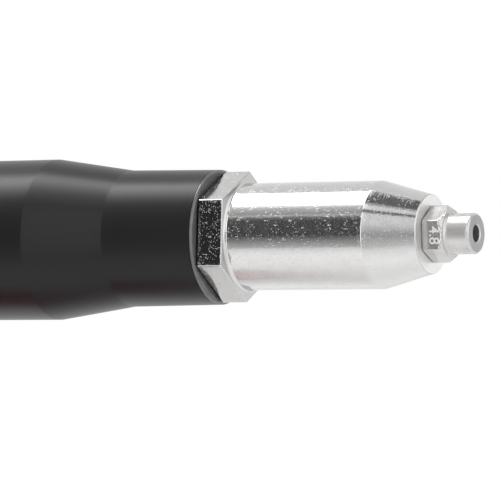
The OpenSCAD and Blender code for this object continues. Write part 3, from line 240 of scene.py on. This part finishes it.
def rounded(corners):
    """Points of a closed profile from (x, r, fillet radius) corners."""
    points = []
    count = len(corners)
    for i, (x, r, fillet) in enumerate(corners):
        here = Vector((x, r))
        before = Vector(corners[i - 1][:2])
        after = Vector(corners[(i + 1) % count][:2])
        if fillet <= 0:
            points.append((here.x, here.y))
            continue
        to_before = (before - here).normalized()
        to_after = (after - here).normalized()
        half = to_before.angle(to_after) / 2
        reach = min(fillet / math.tan(half), (before - here).length * 0.49, (after - here).length * 0.49)
        radius = reach * math.tan(half)
        centre = here + (to_before + to_after).normalized() * (radius / math.sin(half))
        first = (here + to_before * reach) - centre
        second = (here + to_after * reach) - centre
        turn = first.angle_signed(second)
        steps = max(2, int(abs(math.degrees(turn)) / 12) + 1)
        for k in range(steps + 1):
            spoke = Matrix.Rotation(-turn * k / steps, 2) @ first
            points.append((centre.x + spoke.x, centre.y + spoke.y))
    return points


def hexagon_radius(angle, across_flats, turn):
    """Distance from the axis to a hexagon with softly rounded corners."""
    total = sum(max(0.0, math.cos(angle - turn - math.radians(60 * k))) ** 130 for k in range(6))
    return across_flats / 2 / total ** (1 / 130)


def soft_least(a, b, width):
    """The smaller of two lengths, blended over a width where they meet."""
    h = max(width - abs(a - b), 0.0) / width
    return min(a, b) - h * h * width / 4


def turned_piece(name, profile, node, slot, materials, shape=None, turn=0.0):
    """A dense lathe-turned mesh that stands for a CAD node. shape(x, r, angle) gives the distance
    from the axis where the piece isn't round, and turn is the angle of its first flat."""
    angles = [2 * math.pi * i / FACETS for i in range(FACETS)]
    if shape:
        angles = sorted(set(angles) | {
            turn + math.radians(30 + 60 * k + d / 3) for k in range(6) for d in range(-9, 10)
        })
    verts = []
    for x, r in profile:
        for angle in angles:
            reach = shape(x, r, angle) if shape else r
            verts.append((x * MM, -reach * math.cos(angle) * MM, (AXIS_Z + reach * math.sin(angle)) * MM))
    count, sides = len(profile), len(angles)
    faces = [
        (i * sides + j, i * sides + (j + 1) % sides, (i + 1) % count * sides + (j + 1) % sides,
         (i + 1) % count * sides + j)
        for i in range(count) for j in range(sides)
    ]
    mesh = bpy.data.meshes.new(name)
    mesh.from_pydata(verts, [], faces)
    work = bmesh.new()
    work.from_mesh(mesh)
    bmesh.ops.recalc_face_normals(work, faces=work.faces)
    work.to_mesh(mesh)
    work.free()
    mesh.polygons.foreach_set("use_smooth", [True] * len(mesh.polygons))
    mesh.set_sharp_from_angle(angle=SHARP_ANGLE)
    for material in materials:
        mesh.materials.append(bpy.data.materials[material])
    return add_piece(name, mesh, slot, node)


def add_piece(name, mesh, slot, *replaced, body="tool"):
    """Links a finished mesh as a piece that rides on a body."""
    piece = bpy.data.objects.new(name, mesh)
    bpy.context.scene.collection.objects.link(piece)
    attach(piece, body)
    if replaced:
        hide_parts(*replaced)
    return piece


def denser(profile, step):
    """The same profile with long straight runs divided, so that shading stays even."""
    result = []
    for i, (x, r) in enumerate(profile):
        nx, nr = profile[(i + 1) % len(profile)]
        count = max(1, int(math.hypot(nx - x, nr - r) / step))
        result += [(x + (nx - x) * k / count, r + (nr - r) * k / count) for k in range(count)]
    return result


# ---- materials


def plated_steel(colour):
    """Bright nickel over turned steel: mirror-like. Handling has left dents 0.3 mm wide and short
    scratches, whose slopes throw light back as white specks, and the lathe left rings on the taper.
    The rings are 0.3 mm apart, coarser than the real ones, so that they show. Wear has left a thin
    grey haze on the round part, and none on the hexagon, where a wrench has left larger nicks."""
    material, tree, mm = start_material("Nickel Plated Steel")
    place = add(tree, "SeparateXYZ", links={"Vector": mm}).outputs["X"]
    hexagon = ramp(tree, place, WRENCH_END - 0.1, WRENCH_END + 0.1, 1.0, 0.0)
    face_end = ramp(tree, place, SLEEVE_FACE - 1.2, SLEEVE_FACE - 0.4, 1.0, 0.0)
    taper = combine(tree, ramp(tree, place, TAPER_START - 0.1, TAPER_START + 0.7), face_end, "MULTIPLY")
    rings = noise(tree, stretched(tree, mm, (1.0, 0.12, 0.12)), 0.30, 3.0, 0.7)
    rings = combine(tree, rings, combine(tree, taper, None, "MULTIPLY", 0.45), "MULTIPLY")
    spots = []
    for cell, reach, depth in ((0.30, 0.22, 0.18), (0.70, 0.15, 0.50)):
        cells = add(tree, "TexVoronoi", {"Scale": 1 / cell, "Randomness": 1.0}, {"Vector": mm}, feature="F1")
        spots.append(ramp(tree, cells.outputs["Distance"], 0.4 * reach, reach, depth, 0.0))
    dents = combine(tree, spots[0], spots[1], "MAXIMUM")
    nicks = add(tree, "TexVoronoi", {"Scale": 1 / 0.45, "Randomness": 1.0}, {"Vector": mm}, feature="F1")
    wrench = combine(
        tree, ramp(tree, nicks.outputs["Distance"], 0.08, 0.19, 0.6, 0.0), hexagon, "MULTIPLY",
    )
    dents = combine(tree, dents, wrench, "MAXIMUM")
    strokes = add(
        tree, "Mapping", {"Rotation": (0.7, 0.4, 0.6), "Scale": (0.25, 1.0, 1.0)}, {"Vector": mm},
    )
    scratches = ramp(tree, noise(tree, strokes.outputs["Vector"], 0.25, 1.0), 0.70, 0.74)
    patches = ramp(tree, noise(tree, mm, 1.6, 2.0), 0.38, 0.60, 0.25, 1.0)
    patches = combine(tree, patches, ramp(tree, taper, 0.0, 1.0, 1.0, 0.45), "MULTIPLY")
    worn = combine(tree, combine(tree, dents, combine(tree, scratches, None, "MULTIPLY", 0.5), "MAXIMUM"),
                   patches, "MULTIPLY")
    worn = combine(tree, worn, combine(tree, noise(tree, mm, 0.3, 3.0), None, "MULTIPLY", 0.32), "SUBTRACT")
    height = combine(tree, rings, worn, "SUBTRACT")
    haze = noise(tree, mm, 2.5, 3.0)
    base = blend_colours(tree, haze, list(colour), linear("#BDBDBE"))
    rough = ramp(tree, haze, 0.3, 0.7, 0.05, 0.09)
    mottle = ramp(tree, noise(tree, mm, 0.5, 3.0), 0.35, 0.65, 0.91, 0.97)
    metallic = combine(tree, hexagon, mottle, "MAXIMUM")
    finish_material(
        tree, {}, {"Base Color": base, "Roughness": rough, "Metallic": metallic}, height, 0.00004
    )
    return material


def satin_nickel():
    """Nickel over turned steel, as on a small nosepiece: pale and softly shining. Its turning marks lie
    0.3 mm apart, coarser than real ones, and draw reflections out along the axis but not round it."""
    material, tree, mm = start_material("Satin Nickel")
    grain = noise(tree, mm, 0.25, 3.0)
    cloud = noise(tree, mm, 2.2, 3.0)
    base = blend_colours(tree, cloud, linear("#C2C1BF"), linear("#AEADAC"))
    rings = noise(tree, stretched(tree, mm, (1.0, 0.08, 0.08)), 0.25, 2.0, 0.7)
    height = combine(tree, rings, combine(tree, grain, None, "MULTIPLY", 0.15), "ADD")
    rough = ramp(tree, cloud, 0.3, 0.7, 0.21, 0.26)
    finish_material(
        tree, {"Metallic": 0.72}, {"Base Color": base, "Roughness": rough}, height, 0.00002
    )
    return material


def bright_worn_metal():
    """Bare metal of a struck number or a worn edge, rough enough to catch light from every side."""
    material, tree, mm = start_material("Bright Worn Metal")
    grain = noise(tree, mm, 0.2, 2.0)
    base = blend_colours(tree, grain, linear("#DBDAD8"), linear("#B6B5B3"))
    finish_material(tree, {"Metallic": 0.4, "Roughness": 0.5}, {"Base Color": base}, grain, 0.00002)
    return material


def black_edge():
    """The bevel that was turned after the black coat was on: dark, smooth and shining, with fine rings."""
    material, tree, mm = start_material("Turned Black Edge")
    rings = noise(tree, stretched(tree, mm, (1.0, 0.05, 0.05)), 0.25, 3.0)
    base = blend_colours(tree, noise(tree, mm, 1.5), linear("#6A6A6C"), linear("#505052"))
    finish_material(tree, {"Metallic": 0.6, "Roughness": 0.22}, {"Base Color": base}, rings, 0.00001)
    return material


def black_barrel(colour):
    """Hard black coat on aluminium: satin, with a grain so fine that it only softens the light."""
    material, tree, mm = start_material("Black Anodised Aluminium")
    grain = noise(tree, mm, 0.3, 3.0)
    cloud = noise(tree, mm, 9.0, 2.0)
    base = blend_colours(tree, cloud, list(colour), linear("#19191B"))
    rough = ramp(tree, grain, 0.3, 0.7, 0.28, 0.35)
    finish_material(
        tree, {"Metallic": 0.0, "IOR": 1.5, "Specular IOR Level": 0.18},
        {"Base Color": base, "Roughness": rough}, grain, 0.000004,
    )
    return material


def moulded_plastic(name, colour, darker, rough_low, rough_high, front=None):
    """Injection-moulded nylon: even colour with the spark texture of the mould, grains 0.35 mm wide.
    A second shot of another colour may form the parts in front of a given X in mm."""
    material, tree, mm = start_material(name)
    spark = noise(tree, mm, 0.35, 2.0, 0.6)
    cloud = noise(tree, mm, 14.0, 2.0)
    base = blend_colours(tree, cloud, list(colour), linear(darker))
    if front:
        place = add(tree, "SeparateXYZ", links={"Vector": mm}).outputs["X"]
        ahead = ramp(tree, place, front[0] - 0.02, front[0] + 0.02)
        mix = add(tree, "Mix", {"B": front[1]}, {"Factor": ahead, "A": base}, data_type="RGBA")
        base = mix.outputs["Result"]
    rough = ramp(tree, spark, 0.3, 0.7, rough_low, rough_high)
    finish_material(
        tree, {"Metallic": 0.0, "IOR": 1.5}, {"Base Color": base, "Roughness": rough}, spark, 0.00003
    )
    return material


def grip_rubber(colour):
    """Soft overmoulded rubber: matt, with low ribs 3 mm apart across the grip, and painted shade that darkens
    the grooves between them.
    """
    material, tree, mm = start_material("Thermoplastic Rubber")
    rib_mm = 3.0
    tilted = add(tree, "Mapping", {"Rotation": (0, math.radians(12), 0)}, {"Vector": mm}).outputs["Vector"]
    split = add(tree, "SeparateXYZ", links={"Vector": tilted})
    phase = combine(tree, split.outputs["Z"], None, "MULTIPLY", 2 * math.pi / rib_mm)
    wave = combine(tree, phase, None, "SINE", 0.0)
    rib = ramp(tree, wave, 0.1, 0.7)
    grain = noise(tree, mm, 0.25, 2.0)
    height = combine(tree, rib, combine(tree, grain, None, "MULTIPLY", 0.10), "ADD")
    # the grooves between the ribs are painted darker than the crests: painted shade
    base = blend_colours(tree, rib, linear("#1B1B1C"), list(colour))
    finish_material(
        tree, {"Metallic": 0.0, "Roughness": 0.72, "IOR": 1.5}, {"Base Color": base}, height, 0.00035
    )
    return material


def machined_metal(name, colour, darker, rough, ring_mm=0.25):
    """Turned or ground metal: fine rings round the nose axis and slightly uneven shine."""
    material, tree, mm = start_material(name)
    rings = noise(tree, stretched(tree, mm, (1.0, 0.02, 0.02)), ring_mm, 3.0)
    haze = noise(tree, mm, 3.0, 2.0)
    base = blend_colours(tree, haze, linear(colour), linear(darker))
    shine = ramp(tree, haze, 0.3, 0.7, rough, rough + 0.12)
    finish_material(
        tree, {"Metallic": 1.0}, {"Base Color": base, "Roughness": shine}, rings, 0.000012
    )
    return material


def cast_alloy():
    """Die-cast aluminium: pale grey with a sandy skin, grains 0.6 mm wide."""
    material, tree, mm = start_material("Die Cast Aluminium")
    sand = noise(tree, mm, 0.6, 3.0)
    base = blend_colours(tree, noise(tree, mm, 8.0), linear("#B4B5B6"), linear("#9C9D9F"))
    finish_material(tree, {"Metallic": 1.0, "Roughness": 0.45}, {"Base Color": base}, sand, 0.00004)
    return material


def plain_piece(name, colour, darker, rough, grain_mm=0.5, relief=0.00002, metallic=0.0):
    """A small inner piece: one colour with a faint blotch and grain of its own size."""
    material, tree, mm = start_material(name)
    grain = noise(tree, mm, grain_mm, 2.0)
    base = blend_colours(tree, noise(tree, mm, 5.0), linear(colour), linear(darker))
    finish_material(tree, {"Metallic": metallic, "Roughness": rough}, {"Base Color": base}, grain, relief)
    return material


def clear_lens():
    """Clear polycarbonate over a white lamp: pale, glossy, with a faint ripple."""
    material, tree, mm = start_material("Polycarbonate Lens")
    ripple = noise(tree, mm, 1.5, 1.0)
    base = blend_colours(tree, ripple, linear("#E9EDF0"), linear("#D5DBE0"))
    finish_material(
        tree, {"Roughness": 0.06, "IOR": 1.58, "Coat Weight": 0.6}, {"Base Color": base}, ripple, 0.00001
    )
    return material


# ---- operators


class RIVETER_OT_sleeve(bpy.types.Operator):
    """Builds the plated nose sleeve with its wrench hexagon"""

    bl_idname = "riveter.sleeve"
    bl_label = "Nose Sleeve"

    def execute(self, context):
        sizes = context.scene.riveter_nose
        flats, r, e = sizes.sleeve_hexagon / MM, sizes.sleeve_radius / MM, sizes.edge / MM
        turn = math.radians(2.7)
        rear, front, fillet = BARREL_END + 0.5, WRENCH_END, 0.7

        def shape(x, radius, angle):
            if x < BARREL_END - 1e-6 or x > front + fillet - 1e-6:
                return radius
            past = max(0.0, x - front + e) if x < front + 1e-6 else 0.0
            short = max(0.0, rear - x)
            half = flats / 2 - short - e + math.sqrt(max(0.0, e * e - past * past))
            return min(radius, hexagon_radius(angle, 2 * half, turn))

        hollow = [(front + fillet - fillet * math.cos(t), r + fillet - fillet * math.sin(t))
                  for t in (math.radians(a) for a in range(0, 91, 5))]
        steps = [BARREL_END, BARREL_END + 0.25, rear - 0.05, rear, rear + 0.05, rear + 0.3]
        steps += [BARREL_END + 1 + 0.5 * k for k in range(8)]
        steps += [front - e * (1 - math.sin(math.radians(a))) for a in (-40, 0, 20, 40, 60, 80, 90)]
        profile = [(SLEEVE_BACK, 8.0), (SLEEVE_BACK, 9.4), (SLEEVE_BACK + 0.6, 10.0),
                   (BARREL_END - 0.001, 10.0)]
        profile += [(x, 20) for x in steps] + hollow
        profile += denser(rounded([
            (front + fillet + 0.2, r, 0), (TAPER_START, r, 0.5), (SLEEVE_FACE, 7.6, 0.3),
            (SLEEVE_FACE, 4.05, 0), (SLEEVE_FACE - 10.4, 4.05, 0), (SLEEVE_FACE - 10.4, 6.8, 0),
            (SLEEVE_FACE - 11.6, 8.0, 0),
        ]), 1.0)[:-1]
        piece = turned_piece("sleeve", profile, "nose_sleeve", "plated_steel",
                             ["Nickel Plated Steel", "Faced Nickel"], shape, turn)
        for face in piece.data.polygons:
            if face.normal.x > 0.95 and face.center.x > (SLEEVE_FACE - 0.1) * MM:
                face.material_index = 1
        return {"FINISHED"}


class RIVETER_OT_nosepiece(bpy.types.Operator):
    """Builds the nosepiece with its hexagon, tip and size number"""

    bl_idname = "riveter.nosepiece"
    bl_label = "Nosepiece"

    def execute(self, context):
        sizes = context.scene.riveter_nose
        flats, e = sizes.nosepiece_hexagon / MM, sizes.edge / MM
        turn = math.radians(-4.5)
        hex_end = SLEEVE_FACE + 4.2
        corner = flats / math.sqrt(3)

        def shape(x, radius, angle):
            if x < SLEEVE_FACE - 1e-6 or x > hex_end + 1e-6:
                return radius
            return soft_least(radius, hexagon_radius(angle, flats, turn), 0.06)

        profile = rounded([
            (TAIL_BACK, 1.6, 0), (TAIL_BACK, 2.7, 0.2), (TAIL_BACK + 0.8, 3.2, 0.2),
            (SLEEVE_FACE - 8.6, 3.2, 0), (SLEEVE_FACE - 8.6, 4.0, 0), (SLEEVE_FACE - 0.001, 4.0, 0),
            (SLEEVE_FACE, 4.4, 0), (SLEEVE_FACE + 0.14, 4.4, 0), (SLEEVE_FACE + 0.14, corner + 0.1, 0),
            (hex_end - 0.85, corner + 0.1, 0), (hex_end - 0.75, corner + 0.02, 0),
            (hex_end, flats / 2 - 0.02, e), (hex_end, 4.3, 0.1), (hex_end + 0.35, 3.9, 0.25),
            (TIP_FACE, 3.9, 0.45), (TIP_FACE, 1.85, 0), (TIP_FACE - 0.2, 1.65, 0.05),
            (TIP_FACE - 0.25, 1.6, 0),
        ])
        piece = turned_piece("nosepiece_body", denser(profile, 0.4), "nosepiece", "plated_steel",
                             ["Satin Nickel", "Ground Nickel", "Oiled Bore", "Faced Steel"],
                             shape, turn)
        for face in piece.data.polygons:
            place = face.center.x / MM
            if 0.05 < place - SLEEVE_FACE < 4.1 and abs(face.normal.x) < 0.3:
                face.material_index = 1
            reach = math.hypot(face.center.y, face.center.z - AXIS_Z * MM) / MM
            if place > TIP_FACE - 0.19 and face.normal.x > 0.5:
                face.material_index = 0 if reach < 1.86 or reach > 3.5 else 3
            if place > TIP_FACE - 4 and reach < 1.64:
                face.material_index = 2
        self.size_number(flats / 2, turn)
        return {"FINISHED"}

    def size_number(self, reach, turn):
        """The stamped size, read from the top of the flat downwards, 0.03 mm deep in its bright lines."""
        curve = bpy.data.curves.new("size_number_outline", "FONT")
        curve.body = "4.8"
        curve.size = 2.9
        curve.align_x = "CENTER"
        curve.align_y = "CENTER"
        curve.extrude = 0.02
        curve.offset = 0.02
        words = bpy.data.objects.new("size_number_outline", curve)
        mesh = bpy.data.meshes.new_from_object(words)
        bpy.data.objects.remove(words)
        mesh.name = "size_number"
        out = Vector((0, -math.cos(turn), math.sin(turn)))
        along = Vector((0, -math.sin(turn), -math.cos(turn)))
        middle = Vector((SLEEVE_FACE + 2.5, 0, AXIS_Z)) + out * (reach + 0.01)
        for vertex in mesh.vertices:
            x, y, z = vertex.co
            vertex.co = (middle + along * x + Vector((1, 0, 0)) * y + out * z) * MM
        mesh.materials.clear()
        mesh.materials.append(bpy.data.materials["Bright Worn Metal"])
        add_piece("size_number", mesh, "bright_steel")


class RIVETER_OT_barrel(bpy.types.Operator):
    """Builds the black barrel with its bright-edged front"""

    bl_idname = "riveter.barrel"
    bl_label = "Barrel"

    def execute(self, context):
        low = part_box("barrel")[0].x / MM
        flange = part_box("barrel")[1].y / MM
        cone, waist = low + 59.2, low + 75.8
        profile = rounded([
            (low, 12.9, 0), (low, flange, 0.3), (low + 5, flange, 0.3), (low + 5, 15.9, 0),
            (cone, 15.9, 0.8), (waist, 13.4, 0.8), (BARREL_END - 0.62, 13.15, 0),
            (BARREL_END - 0.55, 13.0, 0), (BARREL_END - 0.48, 13.15, 0), (BARREL_END - 0.3, 13.15, 0.1),
            (BARREL_END, 12.85, 0.1), (BARREL_END, 12.1, 0.05), (BARREL_END - 0.12, 11.95, 0),
            (BARREL_END - 0.12, 10.05, 0), (BARREL_END - 11, 10.05, 0), (BARREL_END - 11, 8.6, 0),
            (low + 53, 8.6, 0), (low + 51, 12.9, 0),
        ])
        piece = turned_piece("barrel_body", denser(profile, 2.0), "barrel", "black_steel",
                             ["Black Anodised Aluminium", "Turned Black Edge"])
        for face in piece.data.polygons:
            reach = math.hypot(face.center.y, face.center.z - AXIS_Z * MM)
            if face.center.x > (BARREL_END - 0.5) * MM and reach > 10.1 * MM:
                face.material_index = 1
        return {"FINISHED"}


class RIVETER_OT_springs(bpy.types.Operator):
    """Builds copies of the coil springs, each riding on the body that carries it"""

    bl_idname = "riveter.springs"
    bl_label = "Coil Springs"

    def execute(self, context):
        for node, body, joint, axis, travel in (
            ("jaw_spring", "pull_head", "pusher_slide", (1, 0, 0), 1.5),
            ("trigger_spring", "tool", "trigger_press", (1, 0, 0), 6.0),
            ("latch_spring", "tool", "latch_press", (0, 0, 1), 4.0),
        ):
            mesh = nodes[node].data.copy()
            mesh.transform(nodes[node].matrix_world)
            piece = add_piece(node + "_coil", mesh, "spring_steel", node, body=body)
            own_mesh(piece)
        return {"FINISHED"}


class RIVETER_OT_materials(bpy.types.Operator):
    """Makes every finish and gives the CAD nodes theirs by material slot"""

    bl_idname = "riveter.materials"
    bl_label = "Materials"

    def execute(self, context):
        colours = context.scene.riveter_colours
        nylon = linear("#222223")
        finishes = {
            "plated_steel": plated_steel(colours.plate),
            "black_steel": black_barrel(colours.barrel),
            "dark_steel": machined_metal("Blackened Steel", "#5A5A5C", "#49494B", 0.32),
            "bright_steel": machined_metal("Ground Steel", "#C9C9CA", "#B4B4B6", 0.18),
            "spring_steel": machined_metal("Spring Wire", "#BDBDBE", "#A3A3A5", 0.25),
            "bronze": machined_metal("Bearing Bronze", "#C9A15F", "#B48B4B", 0.26),
            "elastomer": plain_piece("Polyurethane", "#C2561F", "#A94818", 0.55),
            "cast_alloy": cast_alloy(),
            "ferrite": plain_piece("Ferrite Magnet", "#4B4B4E", "#3E3E41", 0.5, metallic=0.3),
            "copper": machined_metal("Enamelled Copper", "#B8683A", "#9E5229", 0.25, 0.5),
            "white_plastic": plain_piece("White Nylon", "#DDDCD6", "#CFCEC8", 0.5),
            "black_plastic": moulded_plastic("Glass Filled Nylon", nylon, "#1B1B1C", 0.42, 0.58),
            "red_plastic": moulded_plastic("Red Moulded Nylon", colours.shell, "#A5171B", 0.34, 0.48),
            "black_rubber": grip_rubber(colours.grip),
            "carbon": plain_piece("Pressed Carbon", "#2A2A2B", "#232324", 0.6),
            "clear_lens": clear_lens(),
            "board_green": plain_piece("Glass Epoxy Board", "#1E5A33", "#194C2B", 0.4),
            "cell_wrap": plain_piece("Shrink Sleeve", "#2E7783", "#27666F", 0.25),
        }
        satin_nickel()
        machined_metal("Faced Steel", "#ACACAD", "#A0A0A1", 0.28)
        machined_metal("Faced Nickel", "#F2F2F0", "#E9E9E8", 0.36)
        machined_metal("Ground Nickel", "#C6C5C4", "#B4B3B2", 0.16, 0.5)
        bright_worn_metal()
        plain_piece("Oiled Bore", "#7A7A7B", "#545455", 0.4, 0.3, 0.00003, 0.5)
        black_edge()
        for entry in frame["record"]["subparts"]:
            dress(entry["node"], finishes[entry["material_slot"]])
        panel_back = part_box("battery_case")[1].x / MM - 2.5
        pack = moulded_plastic(
            "Two Shot Nylon", nylon, "#1B1B1C", 0.42, 0.58, (panel_back, linear("#D3C5C4")),
        )
        dress("battery_case", pack)
        return {"FINISHED"}


class RIVETER_OT_stage(bpy.types.Operator):
    """Adds the floor, the world, the lamps and the camera"""

    bl_idname = "riveter.stage"
    bl_label = "Stage"

    def execute(self, context):
        settings = context.scene.riveter_stage
        self.floor()
        self.world(context)
        self.lamps(context)
        target = Vector((settings.target_x, 0, AXIS_Z * MM - settings.target_drop))
        away = self.away(context)
        data = bpy.data.cameras.new("camera")
        data.lens = settings.lens
        data.sensor_width = 36
        data.clip_start = 0.05
        data.clip_end = 20
        camera = bpy.data.objects.new("camera", data)
        context.scene.collection.objects.link(camera)
        camera.location = target + away * settings.distance
        camera.rotation_euler = (-away).to_track_quat("-Z", "Y").to_euler()
        context.scene.camera = camera
        context.scene.view_settings.view_transform = "Standard"
        return {"FINISHED"}

    def away(self, context):
        """Direction from the tool to the camera."""
        settings = context.scene.riveter_stage
        flat = math.cos(settings.elevation)
        return Vector((
            math.sin(settings.azimuth) * flat, -math.cos(settings.azimuth) * flat,
            math.sin(settings.elevation),
        ))

    def floor(self):
        """White round floor that fades to the pure white of the backdrop away from the tool."""
        mesh = bpy.data.meshes.new("floor")
        radius, sides = 0.35, 64
        turns = [2 * math.pi * i / sides for i in range(sides)]
        rim = [(radius * math.cos(turn), radius * math.sin(turn), 0) for turn in turns]
        mesh.from_pydata(rim, [], [range(sides)])
        floor = bpy.data.objects.new("floor", mesh)
        bpy.context.scene.collection.objects.link(floor)
        floor.location.z = -0.0002
        material, tree, mm = start_material("White Floor")
        length = add(tree, "VectorMath", links={0: mm}, operation="LENGTH").outputs["Value"]
        fade = ramp(tree, length, 190, 340)
        near = add(tree, "BsdfDiffuse", {"Color": linear("#F4F4F4")})
        far = add(tree, "Emission", {"Color": (1, 1, 1, 1), "Strength": 1.0})
        mix = add(tree, "MixShader", links={0: fade, 1: near.outputs["BSDF"], 2: far.outputs["Emission"]})
        add(tree, "OutputMaterial", links={"Surface": mix.outputs["Shader"]})
        mesh.materials.append(material)

    def world(self, context):
        """White to the camera. What shines reflects a photographer's room: a white table below, a bright box
        overhead, pale walls ahead and behind, and on the viewer's left a dark wall with a thin bright
        joint under the box. side is the reach along the nose, climb the angle up from the viewer."""
        world = bpy.data.worlds.new("studio")
        context.scene.world = world
        world.use_nodes = True
        tree = world.node_tree
        tree.nodes.clear()
        path = add(tree, "LightPath")
        generated = add(tree, "TexCoord").outputs["Generated"]
        axes = add(tree, "SeparateXYZ", links={"Vector": generated})
        front = combine(tree, axes.outputs["Y"], None, "MULTIPLY", -1.0)
        climb = combine(tree, axes.outputs["Z"], front, "ARCTAN2")
        climb = combine(tree, climb, None, "MULTIPLY", math.degrees(1))
        side = axes.outputs["X"]
        pale = blend(tree, ramp(tree, side, -0.12, -0.04), 3.0, ramp(tree, climb, -2, 24, 0.40, 0.95))
        joint = combine(tree, ramp(tree, climb, 44, 46), ramp(tree, climb, 51, 53, 1.0, 0.0), "MULTIPLY")
        pale = blend(tree, joint, pale, 0.15)
        edge = combine(tree, ramp(tree, climb, 41, 42), ramp(tree, climb, 43.5, 44.5, 1.0, 0.0), "MULTIPLY")
        wall = blend(tree, edge, ramp(tree, climb, 32, 58, 0.035, 0.7), 1.0)
        corner = blend(tree, ramp(tree, side, -0.34, -0.26), wall, pale)
        overhead = blend(tree, ramp(tree, side, -0.26, -0.14), ramp(tree, climb, 66, 92, 1.8, 10.5), 0.10)
        upper = blend(tree, ramp(tree, climb, 60, 70), corner, overhead)
        upper = blend(tree, ramp(tree, climb, 100, 103), upper, 0.95)
        beyond = blend(tree, ramp(tree, front, -0.2, 0.1), 0.95, 1.4)
        upper = blend(tree, ramp(tree, side, 0.22, 0.34), upper, beyond)
        shade = combine(tree, ramp(tree, climb, 110, 122), ramp(tree, climb, 146, 158, 1.0, 0.0), "MULTIPLY")
        shade = combine(tree, shade, ramp(tree, side, 0.44, 0.52), "MULTIPLY")
        upper = blend(tree, shade, upper, 0.10)
        upper = blend(tree, ramp(tree, side, 0.65, 0.85), upper, 1.5)
        viewer = add(tree, "VectorMath", {1: self.away(context)}, {0: generated}, operation="DOT_PRODUCT")
        upper = blend(tree, ramp(tree, viewer.outputs["Value"], 0.975, 0.988), upper, 0.08)
        room = blend(tree, ramp(tree, climb, -42, 0), 1.0, upper)
        light = blend(tree, path.outputs["Is Glossy Ray"], 0.72, room)
        seen = combine(tree, path.outputs["Is Camera Ray"], path.outputs["Is Transmission Ray"], "MAXIMUM")
        light = blend(tree, seen, light, 1.0)
        shine = add(tree, "Background", {"Color": (1, 1, 1, 1)}, {"Strength": light})
        add(tree, "OutputWorld", links={"Surface": shine.outputs["Background"]})

    def lamps(self, context):
        """A large soft lamp overhead, a weaker one to the left and one ahead of the nose. The world gives
        their reflections."""
        for name, place, aim, size, power in (
            ("top_lamp", (-0.20, -0.10, 1.1), (0.06, 0, 0.1), 0.9, 9.0),
            ("side_lamp", (-0.6, -1.0, 0.6), (0.06, 0, 0.12), 0.6, 4.0),
            ("front_lamp", (0.8, -0.2, 0.13), (0.06, 0, 0.03), 0.4, 5.2),
        ):
            data = bpy.data.lights.new(name, "AREA")
            data.size = size
            data.energy = power
            lamp = bpy.data.objects.new(name, data)
            context.scene.collection.objects.link(lamp)
            lamp.location = place
            lamp.rotation_euler = (Vector(aim) - Vector(place)).to_track_quat("-Z", "Y").to_euler()
            lamp.visible_glossy = False
            lamp.visible_camera = False


class RIVETER_PT_panel(bpy.types.Panel):
    """Lists the sizes, colours and build steps"""

    bl_label = "Electric Riveter"
    bl_idname = "RIVETER_PT_panel"
    bl_space_type = "VIEW_3D"
    bl_region_type = "UI"
    bl_category = "Riveter"

    def draw(self, context):
        for group in (context.scene.riveter_nose, context.scene.riveter_colours, context.scene.riveter_stage):
            for key in group.__annotations__:
                self.layout.prop(group, key)
        for operator in OPERATORS:
            self.layout.operator(operator.bl_idname)


OPERATORS = (
    RIVETER_OT_materials, RIVETER_OT_barrel, RIVETER_OT_sleeve, RIVETER_OT_nosepiece, RIVETER_OT_springs,
    RIVETER_OT_stage,
)
CLASSES = (NoseSizes, FinishColours, StageSettings, *OPERATORS, RIVETER_PT_panel)


def register():
    for cls in CLASSES:
        bpy.utils.register_class(cls)
    bpy.types.Scene.riveter_nose = PointerProperty(type=NoseSizes)
    bpy.types.Scene.riveter_colours = PointerProperty(type=FinishColours)
    bpy.types.Scene.riveter_stage = PointerProperty(type=StageSettings)


def unregister():
    del bpy.types.Scene.riveter_nose, bpy.types.Scene.riveter_colours, bpy.types.Scene.riveter_stage
    for cls in reversed(CLASSES):
        bpy.utils.unregister_class(cls)


def main():
    register()
    for operator in OPERATORS:
        group, name = operator.bl_idname.split(".")
        getattr(getattr(bpy.ops, group), name)()


if __name__ == "__main__":
    main()
